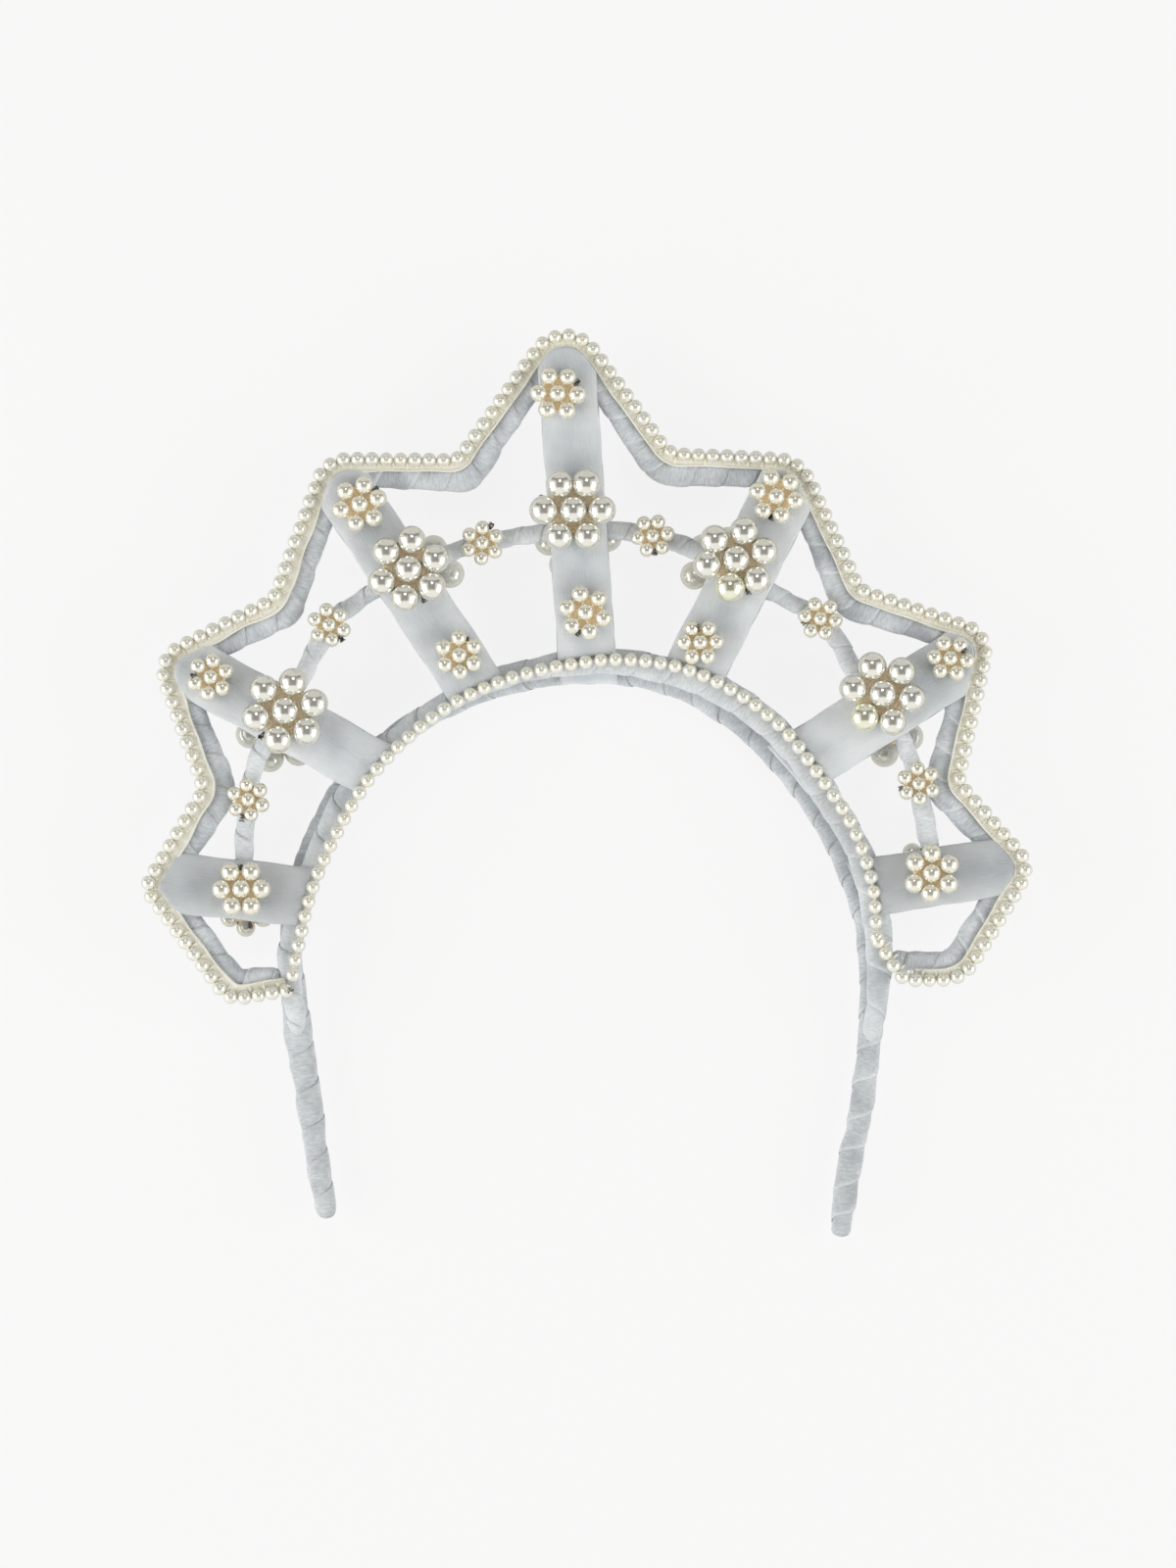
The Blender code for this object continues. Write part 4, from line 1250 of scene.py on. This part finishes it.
# %% Tree for the twisted ends
# x, y, height, the way it lies in degrees
WIRE_ENDS = (
    (-2.7, 108.4, 19.5, 60.0),
    (-57.2, 79.5, 19.5, 30.0),
    (49.6, 71.6, 19.5, 250.0),
    (-106.8, 28.9, 21.4, 190.0),
    (101.8, 35.8, 21.6, 30.0),
    (-2.8, 40.3, 19.5, 240.0),
    (-32.9, 39.0, 19.5, 80.0),
    (29.4, 42.1, 21.4, 110.0),
    (-12.5, 77.1, 20.0, 160.0),
    (-44.3, 49.3, 20.0, 300.0),
    (-54.3, 51.9, 20.0, 210.0),
    (43.2, 51.4, 20.0, 290.0),
    (-88.2, 12.5, 20.0, 230.0),
    (-93.8, -22.8, 19.8, 90.0),
    (89.6, -28.9, 19.8, 230.0),
    (-26.2, 69.7, 18.6, 60.0),
    (18.0, 62.0, 18.6, 280.0),
    (-66.5, 38.7, 18.6, 310.0),
    (58.3, 43.2, 18.6, 200.0),
    (-93.5, -9.8, 18.6, 260.0),
    (84.5, -1.5, 18.6, 190.0),
    (-91.7, -39.0, 9.0, 270.0),
    (-80.2, -55.8, 19.5, 40.0),
)


def wire_end_tree():
    tree, given = new_tree("twisted wire ends", (
        ("Length", "Float", 0.0018),
        ("Strand", "Float", 0.00012),
        ("Tangle", "Float", 0.0016),
        ("Material", "Material", None),
    ))
    strands = []
    for turn in (0.0, math.pi):
        coil = put(tree, "GeometryNodeCurveSpiral",
                   {"Resolution": 9, "Rotations": 4.3, "Start Radius": 0.00030, "End Radius": 0.00060,
                    "Height": given["Length"]})
        coil = placed(tree, coil, Rotation=(0.0, 0.0, turn))
        strands.append(tube(tree, coil, circle(tree, given["Strand"]), True))
    laid = placed(tree, join(tree, *strands), Rotation=(0.0, math.radians(78.0), 0.0))
    centred = placed(tree, laid, Translation=(-0.0013, 0.0, 0.0))
    spin = put(tree, "ShaderNodeCombineXYZ", {"Z": named(tree, "turn")})
    spin = put(tree, "FunctionNodeEulerToRotation", {0: spin})
    ends = put(tree, "GeometryNodeInstanceOnPoints",
               {"Points": given["Geometry"], "Instance": centred, "Rotation": spin})
    ends = put(tree, "GeometryNodeRealizeInstances", {"Geometry": ends})
    where = put(tree, "GeometryNodeInputPosition")
    tangle = add(tree, "ShaderNodeTexNoise", {"Vector": where, "Scale": 1300.0}).outputs["Color"]
    tangle = vectors(tree, "SUBTRACT", tangle, (0.5, 0.5, 0.5))
    tangle = vectors(tree, "SCALE", tangle, given["Tangle"])
    ends = put(tree, "GeometryNodeSetPosition", {"Geometry": ends, "Offset": tangle})
    close_tree(tree, paint(tree, ends, given["Material"]))
    return tree


start = skeleton("wire end points", [row[:3] for row in WIRE_ENDS], [],
                 {"turn": [math.radians(row[3]) for row in WIRE_ENDS]})
wire_ends = grow(start, wire_end_tree(), {"Material": DARK_WIRE}, "wire_ends")
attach(wire_ends, "root")

# %% [markdown]
# ## Floor, light and camera
# The photograph is taken straight on from far away, and the headband lies flat. So the camera looks
# straight down through a long lens. Two large soft lights stand left and right, and a smaller one
# above the top: they make the two white patches and the spot on each pearl. The sky overhead is dark
# in a block with a bar across it, which the pearls mirror as the dark shape between the patches.

# %% Floor, lights and camera
FIELD_HEIGHT = 0.424    # what the photograph's height spans at the headband
LENS = 200.0
SENSOR = 36.0
FLOOR_LIGHT = 0.58      # what the floor gives off towards the pieces
FLOOR_SEEN = 0.83       # and towards the camera, for the photograph's pale ground
SKY_LIGHT = 1.22
SKY_LOW = (0.74, 0.73, 0.70)
SKY_HIGH = (0.52, 0.51, 0.48)
SKY_DARK = (0.05, 0.047, 0.04)

# Dark zones of the sky: half width, lower edge and upper edge, each as where it starts and ends to fade
DARK_ZONES = (
    ((0.42, 0.54), (-0.38, -0.54), (0.68, 0.78)),
    ((0.80, 0.90), (0.52, 0.44), (0.68, 0.78)),
)

floor_mesh = bpy.data.meshes.new("floor")
REACH = 6.0
floor_mesh.from_pydata([(-REACH, -REACH, 0), (REACH, -REACH, 0), (REACH, REACH, 0), (-REACH, REACH, 0)], [],
                       [(0, 1, 2, 3)])
floor = linked("floor", floor_mesh)
floor_paint, floor_shader = new_material("floor paint", Roughness=0.9, Specular_IOR_Level=0.1)
floor_shader.inputs["Base Color"].default_value = (0.12, 0.12, 0.12, 1.0)
floor_shader.inputs["Emission Color"].default_value = (1.0, 1.0, 1.0, 1.0)
seen = add(floor_paint.node_tree, "ShaderNodeLightPath").outputs["Is Camera Ray"]
feeds = {"Value": seen, "To Min": FLOOR_LIGHT, "To Max": FLOOR_SEEN}
glow = put(floor_paint.node_tree, "ShaderNodeMapRange", feeds)
floor_paint.node_tree.links.new(glow, floor_shader.inputs["Emission Strength"])
floor_mesh.materials.append(floor_paint)


def soft_light(name, place, size, height, power):
    """A rectangular soft light that faces the headband."""
    data = bpy.data.lights.new(name, "AREA")
    data.shape = "RECTANGLE"
    data.size = size
    data.size_y = height
    data.energy = power
    lamp = linked(name, data)
    lamp.location = place
    lamp.rotation_mode = "QUATERNION"
    lamp.rotation_quaternion = (-Vector(place)).to_track_quat("-Z", "Y")


soft_light("left light", (-0.99, -0.21, 0.46), 1.12, 0.78, 6.8)
soft_light("right light", (0.95, -0.23, 0.52), 1.00, 0.62, 4.8)
soft_light("top light", (0.02, 0.56, 1.00), 0.32, 0.28, 1.1)

world = bpy.data.worlds.new("studio")
bpy.context.scene.world = world
world.use_nodes = True
sky = world.node_tree
background = sky.nodes["Background"]
background.inputs["Strength"].default_value = SKY_LIGHT
way = add(sky, "ShaderNodeSeparateXYZ", {0: add(sky, "ShaderNodeTexCoord").outputs["Generated"]})
from_below = ramp(sky, way.outputs[1], -0.5, 0.4)
tone = blend(sky, from_below, SKY_LOW, SKY_HIGH)
open_sky = 1.0
for sides, lower, upper in DARK_ZONES:
    beside = ramp(sky, sums(sky, "ABSOLUTE", way.outputs[0]), *sides)
    past = sums(sky, "MAXIMUM", ramp(sky, way.outputs[1], *lower), ramp(sky, way.outputs[1], *upper))
    open_sky = sums(sky, "MINIMUM", open_sky, sums(sky, "MAXIMUM", beside, past))
tone = blend(sky, open_sky, SKY_DARK, tone)
sky.links.new(tone, background.inputs["Color"])

camera_data = bpy.data.cameras.new("camera")
camera_data.lens = LENS
camera_data.sensor_width = SENSOR
camera_data.clip_start = 0.1
camera_data.clip_end = 20.0
camera = linked("camera", camera_data)
camera.location = (0.0, -0.0003, FRONT_RIBBON[1] * MM + FIELD_HEIGHT * LENS / SENSOR)
bpy.context.scene.camera = camera
bpy.context.scene.view_settings.view_transform = "Standard"
print(f"camera {camera.location.z:.2f} m above the floor")
